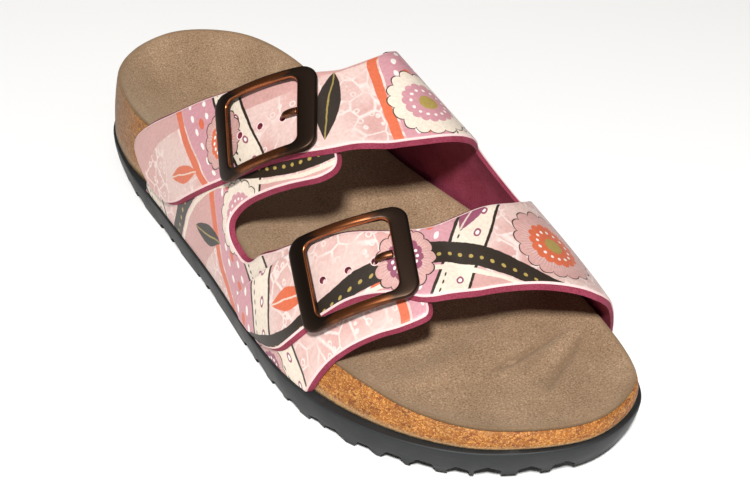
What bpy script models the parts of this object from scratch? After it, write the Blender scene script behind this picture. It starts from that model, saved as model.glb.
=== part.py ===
"""Right-foot footbed sandal with two buckled straps, modelled in metres.

The toe points to -Y, the buckled outer side is -X and the floor is Z = 0.
Tables are in millimetres. A station runs from the back of the heel to the toe,
and a girth runs over the foot from the outer sole edge (0) to the inner one (1).
"""

import math
from collections import namedtuple

import bmesh
import bpy
from mathutils import Matrix, Vector

MM = 0.001
SOLE_LENGTH = 253.3
AXIS_X = -4.2
SEAT_GAP = 0.3
WALL = 2.2
LINING_WALL = 1.2

Outline = namedtuple("Outline", "station x")
OUTLINE = [
    Outline(0.0, 0.0),
    Outline(5.0, -19.0),
    Outline(20.0, -34.0),
    Outline(46.7, -42.0),
    Outline(83.0, -45.0),
    Outline(119.7, -48.0),
    Outline(150.7, -52.0),
    Outline(177.7, -53.6),
    Outline(201.7, -49.0),
    Outline(224.7, -37.0),
    Outline(242.2, -19.0),
    Outline(253.3, 8.0),
    Outline(247.2, 31.5),
    Outline(229.7, 42.5),
    Outline(206.2, 46.7),
    Outline(177.7, 45.1),
    Outline(146.7, 38.5),
    Outline(115.2, 33.5),
    Outline(81.7, 33.8),
    Outline(47.7, 35.5),
    Outline(21.7, 29.5),
    Outline(6.5, 17.0),
]

# Heights of the sole's top edge and of the cork rim, and how far the cork stands in from the sole edge.
# The cup is the depth of the bed below its rim, and the power squares off its section.
Level = namedtuple("Level", "station sole_top rim foot_inset outer_rim_inset inner_rim_inset cup bed_power")
LEVELS = [
    Level(0.0, 12.2, 34.4, 1.0, 3.0, 3.0, 11.0, 2.2),
    Level(25.0, 12.1, 34.7, 0.8, 2.8, 3.4, 13.0, 2.2),
    Level(48.0, 12.0, 34.4, 1.4, 3.6, 4.0, 12.8, 2.3),
    Level(66.0, 11.9, 33.8, 3.1, 6.0, 4.3, 12.0, 2.4),
    Level(90.0, 11.8, 32.6, 3.1, 6.2, 4.4, 10.0, 2.5),
    Level(135.0, 12.0, 29.6, 3.1, 6.2, 4.4, 6.5, 3.0),
    Level(178.0, 12.4, 26.3, 3.1, 6.4, 4.6, 5.0, 4.0),
    Level(205.0, 12.5, 23.4, 3.1, 5.8, 4.6, 4.6, 5.0),
    Level(222.0, 13.0, 21.7, 2.6, 3.8, 4.2, 4.2, 5.0),
    Level(238.0, 13.8, 20.8, 1.8, 2.4, 2.6, 3.6, 4.0),
    Level(253.3, 14.7, 20.6, 1.5, 2.0, 2.0, 3.0, 3.0),
]
RIM_HEEL = LEVELS[0].outer_rim_inset
RIM_TOE = SOLE_LENGTH - LEVELS[-1].outer_rim_inset

# Soft mounds of the bed: arch support and the pad behind the ball, across from -1 outer to +1 inner.
Mound = namedtuple("Mound", "height station length across width")
ARCH = Mound(5.0, 108.0, 30.0, 0.62, 0.34)
PAD = Mound(2.6, 152.0, 18.0, -0.05, 0.45)

# Toe grip: a low bar that slants and bows across the bed under the toes.
TOE_BAR_HEIGHT = 2.4
TOE_BAR_LENGTH = 7.0
TOE_BAR_STATION = 207.0
TOE_BAR_SLANT = 10.0
TOE_BAR_BOW = 8.0

# The mounds die out over the last part of the width, and the cup over the ends of the length.
MOUND_EDGE_POWER = 8
TOE_BAR_EDGE_POWER = 4
CUP_END_POWER = 7

# Top of the foot under the straps: height and sideways place of the crest.
Crest = namedtuple("Crest", "station z x")
CRESTS = [
    Crest(40.0, 102.0, 7.0),
    Crest(80.0, 94.0, 9.0),
    Crest(110.0, 87.0, 11.0),
    Crest(125.0, 83.0, 11.5),
    Crest(155.0, 72.5, 11.5),
    Crest(185.0, 60.5, 10.0),
    Crest(215.0, 49.5, 8.0),
    Crest(240.0, 42.0, 7.0),
]
UPPER_INSET = 2.7
OUTER_ROUNDNESS = 1.9
INNER_ROUNDNESS = 2.15

# Stations of a strap's two edges at each girth, from its free end.
Strap = namedtuple("Strap", "girth rear front")
REAR_STRAP = [
    Strap(0.030, 74.0, 82.0),
    Strap(0.036, 68.5, 87.0),
    Strap(0.045, 63.5, 91.0),
    Strap(0.060, 59.5, 96.0),
    Strap(0.080, 60.5, 101.0),
    Strap(0.113, 68.0, 109.0),
    Strap(0.163, 81.5, 120.5),
    Strap(0.212, 93.0, 129.5),
    Strap(0.260, 103.5, 137.5),
    Strap(0.320, 115.0, 147.5),
    Strap(0.370, 122.5, 153.5),
    Strap(0.420, 127.0, 158.5),
    Strap(0.500, 128.3, 163.0),
    Strap(0.600, 125.0, 163.4),
    Strap(0.700, 114.5, 160.5),
    Strap(0.735, 109.5, 158.8),
    Strap(0.770, 104.0, 158.5),
    Strap(0.850, 92.5, 158.5),
    Strap(1.000, 77.0, 158.5),
]
FRONT_STRAP = [
    Strap(0.018, 151.0, 158.0),
    Strap(0.026, 148.0, 166.0),
    Strap(0.036, 147.0, 171.0),
    Strap(0.054, 147.3, 175.5),
    Strap(0.080, 150.0, 178.5),
    Strap(0.121, 155.0, 182.0),
    Strap(0.175, 161.0, 186.2),
    Strap(0.215, 165.0, 189.2),
    Strap(0.250, 169.0, 193.2),
    Strap(0.285, 173.5, 199.0),
    Strap(0.310, 177.3, 204.8),
    Strap(0.350, 183.4, 209.0),
    Strap(0.410, 187.5, 212.8),
    Strap(0.500, 188.5, 217.6),
    Strap(0.600, 189.0, 221.5),
    Strap(0.700, 185.5, 223.5),
    Strap(0.735, 182.5, 223.4),
    Strap(0.770, 181.0, 223.0),
    Strap(0.850, 180.0, 220.5),
    Strap(1.000, 180.0, 218.0),
]
STRAP_END_ROWS = 5
# The gap between the straps narrows on the inner side, with its lowest point near the front strap.
STRAPS_PART_GIRTH = 0.735
STRAPS_JOIN_GIRTH = 0.815
STRAPS_JOIN_STATION = 175.0
REAR_JOIN_POWER = 1.25

# Edges of the outer quarter and of its two tabs, which run up under the straps.
Quarter = namedtuple("Quarter", "girth rear slot_rear slot_front front")
QUARTER = [
    Quarter(0.000, 65.0, 127.5, 146.5, 188.5),
    Quarter(0.050, 67.0, 127.5, 146.5, 191.0),
    Quarter(0.100, 74.0, 127.5, 146.5, 193.5),
    Quarter(0.130, 81.0, 128.5, 148.5, 195.5),
    Quarter(0.163, 89.0, 132.0, 154.5, 198.0),
    Quarter(0.208, 99.0, 139.0, 161.5, 202.0),
    Quarter(0.242, 107.0, 144.5, 169.0, 205.5),
    Quarter(0.287, 116.0, 151.5, 179.0, 208.5),
    Quarter(0.310, 121.0, 153.5, 182.5, 208.5),
    Quarter(0.340, 128.0, 154.5, 186.0, 208.5),
]
SLOT_FLOOR_GIRTH = 0.098
SLOT_ROUND_GIRTH = 0.128
SLOT_STATION = 137.0
TAB_END_GIRTH = {"rear": 0.340, "front": 0.318}
TAB_ROUND_GIRTH = 0.030
TAB_TIP_WIDTH = 0.35
CORNER_POWER = 2.6
STRAP_CLEAR_GIRTH = 0.012
STRAP_EASE_GIRTH = 0.075

# Buckles: girth of the strap under the middle, shift from there, and turn out of square with the strap.
Buckle = namedtuple("Buckle", "girth shift_along shift_across turn_deg")
BUCKLES = {"rear": Buckle(0.270, 1.4, 2.0, -7.5), "front": Buckle(0.250, 2.8, 1.4, -8.0)}
BUCKLE_ALONG = 34.6
BUCKLE_ACROSS = 29.4
BUCKLE_CROSS_BAR = 5.3
BUCKLE_SIDE_BAR = 3.1
BUCKLE_THICK = 2.6
BUCKLE_BOW = 1.3
BUCKLE_CORNER = 4.6
WINDOW_CORNER = 2.5
BUCKLE_EDGE = 0.7
BUCKLE_EDGE_ANGLE = 50.0

# Prong: it rises a little from the cross bar and dips to the strap at its tip.
PIN_WIDTH = 2.6
PIN_LENGTH = 5.4
PIN_THICK = 1.6
PIN_EDGE = 0.4
Prong = namedtuple("Prong", "share rise")
PIN_PATH = [Prong(0.0, 0.9), Prong(0.35, 1.1), Prong(0.75, 0.7), Prong(1.0, 0.0)]

# Bottom edge lugs and tread.
LUG_COUNT = 58
LUG_DEPTH = 2.2
LUG_REACH = 9.0
LUG_SLOPE = 1.2
SOLE_DRAFT = 3.8
TOE_SPRING = 4.6
TOE_SPRING_STATION = 178.0
TREAD_STATIONS = [28.0, 44.0, 60.0, 76.0, 150.0, 166.0, 182.0, 198.0, 212.0]
TREAD_WIDTH = 3.2
TREAD_DEPTH = 1.8
TREAD_CHEVRON = 6.0
TREAD_MARGIN = 14.0

# Counts of points and rows, and small steps for slopes.
OUTLINE_STEPS = 24
OUTLINE_COUNT = 360
POINTS_PER_LUG = 4
NOTCH_POINTS = 2
BED_ROWS = 36
BED_END_SHARE = 0.35
BED_ACROSS = [-1.0, -0.93, -0.8, -0.6, -0.36, -0.12, 0.12, 0.36, 0.6, 0.8, 0.93, 1.0]
BED_FLOOR_COLUMNS = 6
STRAP_COLUMNS = 6
STRAP_ROWS = 34
STRAP_JOIN_ROWS = 8
QUARTER_COLUMNS = 7
QUARTER_FOOT_ROWS = 6
QUARTER_CORNER_ROWS = 7
QUARTER_RISE_ROWS = 12
QUARTER_TIP_ROWS = 6
BUCKLE_CORNER_STEPS = 5
BUCKLE_SIDE_STEPS = 4
PLACE_ROUNDS = 8
GIRTH_STEP = 0.004
STATION_STEP = 1.0
MERGE = 0.05
SHEET_MIDDLE_Z = -60.0
SHARP_ANGLE = 40.0


def remove_scene_objects():
    for old in list(bpy.data.objects):
        bpy.data.objects.remove(old, do_unlink=True)


def make_material(name, color, roughness, metallic=0.0):
    material = bpy.data.materials.new(name)
    material.use_nodes = True
    shader = material.node_tree.nodes["Principled BSDF"]
    shader.inputs["Base Color"].default_value = (*color, 1.0)
    shader.inputs["Roughness"].default_value = roughness
    shader.inputs["Metallic"].default_value = metallic
    return material


def world(x, station, z):
    return Vector((x - AXIS_X, SOLE_LENGTH / 2 - station, z)) * MM


def spline(a, b, c, d, t):
    """Smooth curve from b to c that takes its slopes from a and d."""
    bend = 2 * a - 5 * b + 4 * c - d
    twist = 3 * b - a - 3 * c + d
    return b + 0.5 * ((c - a) * t + bend * t * t + twist * t ** 3)


def lookup(rows, key, column, value):
    """Smooth value of a column at a place along the key column of a table."""
    keys = [getattr(row, key) for row in rows]
    values = [getattr(row, column) for row in rows]
    if value <= keys[0]:
        return values[0]
    if value >= keys[-1]:
        return values[-1]
    i = max(k for k in range(len(keys) - 1) if keys[k] <= value)
    slopes = []
    for k in (i, i + 1):
        low, high = max(k - 1, 0), min(k + 1, len(keys) - 1)
        slopes.append((values[high] - values[low]) / (keys[high] - keys[low]))
    span = keys[i + 1] - keys[i]
    t = (value - keys[i]) / span
    start = (1 + 2 * t) * (1 - t) ** 2 * values[i] + t * (1 - t) ** 2 * span * slopes[0]
    end = t * t * (3 - 2 * t) * values[i + 1] + t * t * (t - 1) * span * slopes[1]
    return start + end


def level(column, station):
    return lookup(LEVELS, "station", column, station)


def sole_outline(count):
    """Points (x, station) evenly spaced round the sole, from the heel by the outer side."""
    fine = []
    total = len(OUTLINE)
    for i in range(total):
        four = [OUTLINE[(i + k) % total] for k in (-1, 0, 1, 2)]
        for step in range(OUTLINE_STEPS):
            t = step / OUTLINE_STEPS
            x = spline(*(point.x for point in four), t)
            station = spline(*(point.station for point in four), t)
            fine.append(Vector((x, station)))
    lengths = [0.0]
    for i in range(len(fine)):
        lengths.append(lengths[-1] + (fine[(i + 1) % len(fine)] - fine[i]).length)
    points = []
    i = 0
    for k in range(count):
        want = lengths[-1] * k / count
        while lengths[i + 1] < want:
            i += 1
        t = (want - lengths[i]) / (lengths[i + 1] - lengths[i])
        points.append(fine[i].lerp(fine[(i + 1) % len(fine)], t))
    return points


def inset_loop(points, inset):
    """Move each point of a closed loop inwards by inset(point)."""
    loop = []
    for i, point in enumerate(points):
        along = points[(i + 1) % len(points)] - points[i - 1]
        inward = Vector((-along.y, along.x)).normalized()
        if inward.dot(Vector((0.0, SOLE_LENGTH / 2)) - point) < 0:
            inward = -inward
        loop.append(point + inward * inset(point))
    return loop


def sides(loop):
    """Outer and inner edges of a loop, each from heel to toe."""
    heel = min(range(len(loop)), key=lambda i: loop[i].y)
    toe = max(range(len(loop)), key=lambda i: loop[i].y)
    ring = loop[heel:] + loop[:heel]
    split = (toe - heel) % len(loop)
    outer = ring[:split + 1]
    inner = [ring[0]] + ring[:split - 1:-1]
    return outer, inner


def edge_x(edge, station):
    for a, b in zip(edge, edge[1:]):
        if a.y <= station <= b.y:
            t = (station - a.y) / max(b.y - a.y, 1e-9)
            return a.x + (b.x - a.x) * t
    return edge[0].x if station < edge[0].y else edge[-1].x


FINE_OUTLINE = sole_outline(OUTLINE_COUNT)
SOLE_OUTER, SOLE_INNER = sides(FINE_OUTLINE)


def toe_spring(station):
    rise = max(0.0, station - TOE_SPRING_STATION) / (SOLE_LENGTH - TOE_SPRING_STATION)
    return TOE_SPRING * rise * rise


def last_point(girth, station):
    """Inner face of the upper: an arch over the foot from sole edge to sole edge."""
    crest_z = lookup(CRESTS, "station", "z", station)
    crest_x = lookup(CRESTS, "station", "x", station)
    foot_z = level("sole_top", station) + SEAT_GAP
    turn = abs(1 - 2 * girth) * math.pi / 2
    if girth < 0.5:
        power = 2 / OUTER_ROUNDNESS
        foot_x = edge_x(SOLE_OUTER, station) + UPPER_INSET
    else:
        power = 2 / INNER_ROUNDNESS
        foot_x = edge_x(SOLE_INNER, station) - UPPER_INSET
    x = crest_x + (foot_x - crest_x) * math.sin(turn) ** power
    z = foot_z + (crest_z - foot_z) * max(math.cos(turn), 0.0) ** power
    return Vector((x, station, z))


def upper_point(girth, station, lift):
    """A point above the inner face by lift, along its normal."""
    low, high = max(girth - GIRTH_STEP, 0.0), min(girth + GIRTH_STEP, 1.0)
    along = last_point(high, station) - last_point(low, station)
    forward = last_point(girth, station + STATION_STEP) - last_point(girth, station - STATION_STEP)
    normal = along.cross(forward).normalized()
    if girth <= GIRTH_STEP or girth >= 1 - GIRTH_STEP:
        normal.z = 0.0
        normal.normalize()
    return last_point(girth, station) + normal * lift


def new_object(name, mesh, collection, material):
    made = bpy.data.objects.new(name, mesh)
    collection.objects.link(made)
    made.data.materials.append(material)
    return made


def finish_mesh(name, bm, sheet=False):
    """Mesh of a closed body, or of an open sheet whose faces look away from the middle of the foot."""
    bmesh.ops.remove_doubles(bm, verts=bm.verts, dist=MERGE * MM)
    bmesh.ops.dissolve_degenerate(bm, edges=bm.edges, dist=MERGE * MM)
    bmesh.ops.triangulate(bm, faces=[face for face in bm.faces if len(face.verts) > 4])
    bmesh.ops.recalc_face_normals(bm, faces=bm.faces)
    if sheet:
        middle = Vector((0.0, 0.0, SHEET_MIDDLE_Z * MM))
        facing = sum(face.normal.dot((face.calc_center_median() - middle).normalized()) for face in bm.faces)
        if facing < 0:
            bmesh.ops.reverse_faces(bm, faces=bm.faces)
    mesh = bpy.data.meshes.new(name)
    bm.to_mesh(mesh)
    bm.free()
    mesh.shade_smooth()
    mesh.set_sharp_from_angle(angle=math.radians(SHARP_ANGLE))
    return mesh


def add_strip(bm, rows):
    """Quads between rows of world points that have equal counts."""
    grid = [[bm.verts.new(point) for point in row] for row in rows]
    for row, following in zip(grid, grid[1:]):
        for i in range(len(row) - 1):
            bm.faces.new((row[i], row[i + 1], following[i + 1], following[i]))
    return grid


def add_tube(bm, sections):
    """Closed body through loops of world points, capped at both ends."""
    grid = add_strip(bm, [section + section[:1] for section in sections])
    bm.faces.new(grid[0][:-1])
    bm.faces.new(grid[-1][:-1])


def round_off(progress, power=CORNER_POWER):
    """Superellipse from 1 to 0 as progress goes from 0 to 1."""
    return max(0.0, 1 - min(max(progress, 0.0), 1.0) ** power) ** (1 / power)


def spread(low, high, count):
    return [low + (high - low) * i / (count - 1) for i in range(count)]


def eased(low, high, count):
    """Values from low to high that close up towards high."""
    return [low + (high - low) * math.sin(math.pi / 2 * i / (count - 1)) for i in range(count)]


def solidify(made, thickness):
    shell = made.modifiers.new("Wall", "SOLIDIFY")
    shell.thickness = thickness * MM
    shell.offset = 1.0
    shell.use_even_offset = True


def bevel_edges(made, width, segments, angle):
    bevel = made.modifiers.new("Rounding", "BEVEL")
    bevel.width = width * MM
    bevel.segments = segments
    bevel.limit_method = "ANGLE"
    bevel.angle_limit = math.radians(angle)


def sole_height(place, station, notched):
    if place == "top":
        return level("sole_top", station)
    if place == "side":
        return toe_spring(station) + (LUG_DEPTH + level("sole_top", station)) / 2
    return toe_spring(station) + (LUG_DEPTH if notched else 0.0)


def build_outsole(collection, cutters, material):
    """Lofted rings with a lug and a notch in turn along the bottom edge."""
    points = sole_outline(LUG_COUNT * POINTS_PER_LUG)
    rings = []
    for inset, place in [(0.0, "top"), (0.0, "side"), (SOLE_DRAFT, "edge"), (LUG_REACH, "groove"),
                         (LUG_REACH + LUG_SLOPE, "floor")]:
        ring = []
        for i, point in enumerate(inset_loop(points, lambda point: inset)):
            in_notch = i % POINTS_PER_LUG >= POINTS_PER_LUG - NOTCH_POINTS
            notched = in_notch and place in ("edge", "groove")
            ring.append(world(point.x, point.y, sole_height(place, points[i].y, notched)))
        rings.append(ring)
    bm = bmesh.new()
    add_tube(bm, rings)
    sole = new_object("outsole", finish_mesh("outsole", bm), collection, material)
    cut = sole.modifiers.new("Tread", "BOOLEAN")
    cut.operation = "DIFFERENCE"
    cut.object = build_tread(cutters, material)


def build_tread(cutters, material):
    """Chevron bars that cut the cross grooves of the tread."""
    bm = bmesh.new()
    for station in TREAD_STATIONS:
        outer = edge_x(SOLE_OUTER, station) + TREAD_MARGIN
        inner = edge_x(SOLE_INNER, station) - TREAD_MARGIN
        floor = toe_spring(station) - TREAD_DEPTH
        sections = []
        for x, push in [(outer, 0.0), ((outer + inner) / 2, TREAD_CHEVRON), (inner, 0.0)]:
            low, high = station + push - TREAD_WIDTH / 2, station + push + TREAD_WIDTH / 2
            top = toe_spring(station + push) + TREAD_DEPTH
            corners = [(low, floor), (high, floor), (high, top), (low, top)]
            sections.append([world(x, at, z) for at, z in corners])
        add_tube(bm, sections)
    groove = new_object("tread_cutter", finish_mesh("tread_cutter", bm), cutters, material)
    groove.hide_render = True
    groove.display_type = "WIRE"
    return groove


def mound_height(mound, station, across):
    along = (station - mound.station) / mound.length
    side = (across - mound.across) / mound.width
    return mound.height * math.exp(-along * along - side * side)


def toe_bar_height(station, across):
    middle = TOE_BAR_STATION - TOE_BAR_SLANT * across - TOE_BAR_BOW * across * across
    along = (station - middle) / TOE_BAR_LENGTH
    return TOE_BAR_HEIGHT * math.exp(-along * along) * (1 - across ** TOE_BAR_EDGE_POWER)


def bed_height(station, across):
    """Top of the cork at a place across the foot, -1 outer rim to +1 inner rim."""
    ends = 1 - abs(2 * (station - RIM_HEEL) / (RIM_TOE - RIM_HEEL) - 1) ** CUP_END_POWER
    dip = level("cup", station) * ends * (1 - abs(across) ** level("bed_power", station))
    mounds = mound_height(ARCH, station, across) + mound_height(PAD, station, across)
    mounds += toe_bar_height(station, across)
    return level("rim", station) - dip + mounds * (1 - across ** MOUND_EDGE_POWER)


def rim_inset(point):
    middle = lookup(CRESTS, "station", "x", point.y)
    column = "outer_rim_inset" if point.x < middle else "inner_rim_inset"
    return level(column, point.y)


def cork_rows(inset):
    """Outer and inner x at cosine-spaced stations of an inset outline."""
    outer, inner = sides(inset_loop(FINE_OUTLINE, inset))
    low, high = outer[0].y, outer[-1].y
    rows = []
    for k in range(BED_ROWS):
        turn = math.pi * (k + BED_END_SHARE) / (BED_ROWS - 1 + 2 * BED_END_SHARE)
        station = low + (high - low) * (1 - math.cos(turn)) / 2
        rows.append((station, edge_x(outer, station), edge_x(inner, station)))
    return rows


def bed_row(station, outer, inner, lift):
    return [
        world((outer + inner) / 2 + (inner - outer) / 2 * across, station, bed_height(station, across) + lift)
        for across in BED_ACROSS
    ]


def build_footbed(collection, material):
    """Cork bed: a loft of closed sections from heel to toe."""
    top_rows = cork_rows(rim_inset)
    foot_rows = cork_rows(lambda point: level("foot_inset", point.y))
    sections = []
    for top_row, (station, outer, inner) in zip(top_rows, foot_rows):
        floor = level("sole_top", station) + SEAT_GAP
        bottom = [world(x, station, floor) for x in spread(inner, outer, BED_FLOOR_COLUMNS)]
        sections.append(bed_row(*top_row, 0.0) + bottom)
    bm = bmesh.new()
    add_tube(bm, sections)
    new_object("footbed", finish_mesh("footbed", bm), collection, material)


def build_lining(collection, material):
    """Suede sheet on the cork bed, up to the rim."""
    bm = bmesh.new()
    add_strip(bm, [bed_row(*row, SEAT_GAP) for row in cork_rows(rim_inset)])
    mesh = finish_mesh("footbed_lining", bm, sheet=True)
    lining = new_object("footbed_lining", mesh, collection, material)
    solidify(lining, LINING_WALL)


def strap_lift(side, girth):
    """Straps lie over the tabs at their free ends and come down to the foot past them."""
    start = TAB_END_GIRTH[side] + STRAP_CLEAR_GIRTH
    t = min(max((girth - start) / STRAP_EASE_GIRTH, 0.0), 1.0)
    return (WALL + SEAT_GAP) * (1 - t * t * (3 - 2 * t))


def strap_rows(side, rows, girths):
    made = []
    for girth in girths:
        rear = lookup(rows, "girth", "rear", girth)
        front = lookup(rows, "girth", "front", girth)
        if girth > STRAPS_PART_GIRTH:
            progress = (girth - STRAPS_PART_GIRTH) / (STRAPS_JOIN_GIRTH - STRAPS_PART_GIRTH)
            if side == "rear":
                front = STRAPS_JOIN_STATION + (front - STRAPS_JOIN_STATION) * round_off(progress, REAR_JOIN_POWER)
            else:
                rear = STRAPS_JOIN_STATION + (rear - STRAPS_JOIN_STATION) * round_off(progress)
        lift = strap_lift(side, girth)
        made.append([world(*upper_point(girth, at, lift)) for at in spread(rear, front, STRAP_COLUMNS)])
    return made


def build_straps(collection, material):
    """Two straps that become one sheet on the inner side of the foot."""
    bm = bmesh.new()
    join = eased(STRAPS_PART_GIRTH, STRAPS_JOIN_GIRTH, STRAP_JOIN_ROWS)[1:]
    foot = spread(STRAPS_JOIN_GIRTH, 1.0, STRAP_JOIN_ROWS)[1:]
    for side, rows in [("rear", REAR_STRAP), ("front", FRONT_STRAP)]:
        end = [row.girth for row in rows[:STRAP_END_ROWS]]
        run = spread(end[-1], STRAPS_PART_GIRTH, STRAP_ROWS)[1:]
        add_strip(bm, strap_rows(side, rows, end + run + join + foot))
    straps = new_object("upper_straps", finish_mesh("upper_straps", bm, sheet=True), collection, material)
    solidify(straps, WALL)


def quarter_rows(side, girths):
    made = []
    for girth in girths:
        names = ("rear", "slot_rear") if side == "rear" else ("slot_front", "front")
        low, high = (lookup(QUARTER, "girth", name, girth) for name in names)
        opening = round_off((SLOT_ROUND_GIRTH - girth) / (SLOT_ROUND_GIRTH - SLOT_FLOOR_GIRTH))
        if side == "rear":
            high = SLOT_STATION + (high - SLOT_STATION) * opening
        else:
            low = SLOT_STATION + (low - SLOT_STATION) * opening
        tip = round_off((girth - TAB_END_GIRTH[side] + TAB_ROUND_GIRTH) / TAB_ROUND_GIRTH)
        narrowing = TAB_TIP_WIDTH + (1 - TAB_TIP_WIDTH) * tip
        middle = (low + high) / 2
        low = middle + (low - middle) * narrowing
        high = middle + (high - middle) * narrowing
        made.append([world(*upper_point(girth, at, 0.0)) for at in spread(low, high, QUARTER_COLUMNS)])
    return made


def build_quarter(collection, material):
    """Outer quarter from the sole edge, with a slot between two rounded tabs."""
    bm = bmesh.new()
    foot = spread(0.0, SLOT_FLOOR_GIRTH, QUARTER_FOOT_ROWS)
    corner = eased(SLOT_ROUND_GIRTH, SLOT_FLOOR_GIRTH, QUARTER_CORNER_ROWS)[::-1][1:]
    for side, end in TAB_END_GIRTH.items():
        rise = spread(SLOT_ROUND_GIRTH, end - TAB_ROUND_GIRTH, QUARTER_RISE_ROWS)[1:]
        tip = eased(end - TAB_ROUND_GIRTH, end, QUARTER_TIP_ROWS)[1:]
        add_strip(bm, quarter_rows(side, foot + corner + rise + tip))
    quarter = new_object("upper_quarter", finish_mesh("upper_quarter", bm, sheet=True), collection, material)
    solidify(quarter, WALL)


def rounded_box(length, width, radius):
    """Rounded rectangle round the origin, with equal counts of points at its corners and on its sides."""
    corners = []
    for corner, (sx, sy) in enumerate([(1, 1), (-1, 1), (-1, -1), (1, -1)]):
        for k in range(BUCKLE_CORNER_STEPS):
            turn = math.pi / 2 * (corner + k / (BUCKLE_CORNER_STEPS - 1))
            x = sx * (length / 2 - radius) + radius * math.cos(turn)
            y = sy * (width / 2 - radius) + radius * math.sin(turn)
            corners.append(Vector((x, y)))
    points = []
    for i, point in enumerate(corners):
        points.append(point)
        if i % BUCKLE_CORNER_STEPS == BUCKLE_CORNER_STEPS - 1:
            following = corners[(i + 1) % len(corners)]
            shares = [k / (BUCKLE_SIDE_STEPS + 1) for k in range(1, BUCKLE_SIDE_STEPS + 1)]
            points += [point.lerp(following, share) for share in shares]
    return points


class BucklePlace:
    """Maps millimetres along and across a strap, from the buckle's middle, to girth and station."""

    def __init__(self, side, rows):
        self.rows = rows
        self.buckle = BUCKLES[side]
        girth = self.buckle.girth
        self.station = self.middle(girth)
        ahead = last_point(girth + GIRTH_STEP, self.middle(girth + GIRTH_STEP))
        behind = last_point(girth - GIRTH_STEP, self.middle(girth - GIRTH_STEP))
        self.origin = last_point(girth, self.station)
        self.along = (ahead - behind).normalized()
        forward = last_point(girth, self.station + STATION_STEP) - self.origin
        self.across = (forward - self.along * forward.dot(self.along)).normalized()

    def middle(self, girth):
        return (lookup(self.rows, "girth", "rear", girth) + lookup(self.rows, "girth", "front", girth)) / 2

    def place(self, u, v, lift):
        turned = Vector((u, v))
        turned.rotate(Matrix.Rotation(math.radians(self.buckle.turn_deg), 2))
        want = self.along * (turned.x + self.buckle.shift_along)
        want += self.across * (turned.y + self.buckle.shift_across)
        girth, station = self.buckle.girth, self.station
        for _ in range(PLACE_ROUNDS):
            here = last_point(girth, station)
            left = self.origin + want - here
            by_girth = (last_point(girth + GIRTH_STEP, station) - here) / GIRTH_STEP
            by_station = (last_point(girth, station + STATION_STEP) - here) / STATION_STEP
            a, b = by_girth.dot(self.along), by_station.dot(self.along)
            c, d = by_girth.dot(self.across), by_station.dot(self.across)
            p, q = left.dot(self.along), left.dot(self.across)
            girth += (p * d - b * q) / (a * d - b * c)
            station += (a * q - c * p) / (a * d - b * c)
        return world(*upper_point(girth, station, lift))


def buckle_bow(u):
    """Rise of the frame's side bars, which arch over the strap between the cross bars."""
    return BUCKLE_BOW * (1 - (2 * u / BUCKLE_ALONG) ** 2)


def build_buckle(side, rows, collection, material):
    """Frame that lies on its strap, arched along it, with its prong."""
    place = BucklePlace(side, rows)
    low = 2 * (WALL + SEAT_GAP)
    high = low + BUCKLE_THICK
    window_along = BUCKLE_ALONG - 2 * BUCKLE_CROSS_BAR
    window_across = BUCKLE_ACROSS - 2 * BUCKLE_SIDE_BAR
    outer = rounded_box(BUCKLE_ALONG, BUCKLE_ACROSS, BUCKLE_CORNER)
    window = rounded_box(window_along, window_across, WINDOW_CORNER)
    rings = []
    for loop, lift in [(outer, low), (outer, high), (window, high), (window, low), (outer, low)]:
        rings.append([place.place(u, v, lift + buckle_bow(u)) for u, v in loop + loop[:1]])
    bm = bmesh.new()
    add_strip(bm, rings)
    name = "buckle_frame_" + side
    frame = new_object(name, finish_mesh(name, bm), collection, material)
    bevel_edges(frame, BUCKLE_EDGE, 2, BUCKLE_EDGE_ANGLE)
    build_pin(side, place, low, window_along / 2 - SEAT_GAP, collection, material)


def build_pin(side, place, low, root, collection, material):
    """Prong from the inner cross bar, dipping to the strap."""
    half = PIN_WIDTH / 2
    sections = []
    for prong in PIN_PATH:
        u = root - prong.share * PIN_LENGTH
        base = low + prong.rise
        corners = [(-half, base), (half, base), (half, base + PIN_THICK), (-half, base + PIN_THICK)]
        sections.append([place.place(u, v, lift) for v, lift in corners])
    bm = bmesh.new()
    add_tube(bm, sections)
    name = "buckle_pin_" + side
    pin = new_object(name, finish_mesh(name, bm), collection, material)
    bevel_edges(pin, PIN_EDGE, 1, BUCKLE_EDGE_ANGLE)


def build_sandal():
    remove_scene_objects()
    sandal = bpy.data.collections.new("footbed_sandal")
    cutters = bpy.data.collections.new("cutters")
    bpy.context.scene.collection.children.link(sandal)
    bpy.context.scene.collection.children.link(cutters)
    rubber = make_material("sole_rubber", (0.035, 0.037, 0.04), 0.7)
    cork = make_material("cork", (0.42, 0.20, 0.05), 0.8)
    suede = make_material("suede", (0.27, 0.20, 0.14), 0.9)
    leather = make_material("strap_leather", (0.72, 0.48, 0.46), 0.45)
    copper = make_material("antique_copper", (0.10, 0.055, 0.035), 0.35, 0.9)
    build_outsole(sandal, cutters, rubber)
    build_footbed(sandal, cork)
    build_lining(sandal, suede)
    build_straps(sandal, leather)
    build_quarter(sandal, leather)
    build_buckle("rear", REAR_STRAP, sandal, copper)
    build_buckle("front", FRONT_STRAP, sandal, copper)


build_sandal()
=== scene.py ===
import math
from functools import partial

import bmesh
import bpy
import numpy as np
from mathutils import Matrix, Vector
from mathutils.kdtree import KDTree


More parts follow.
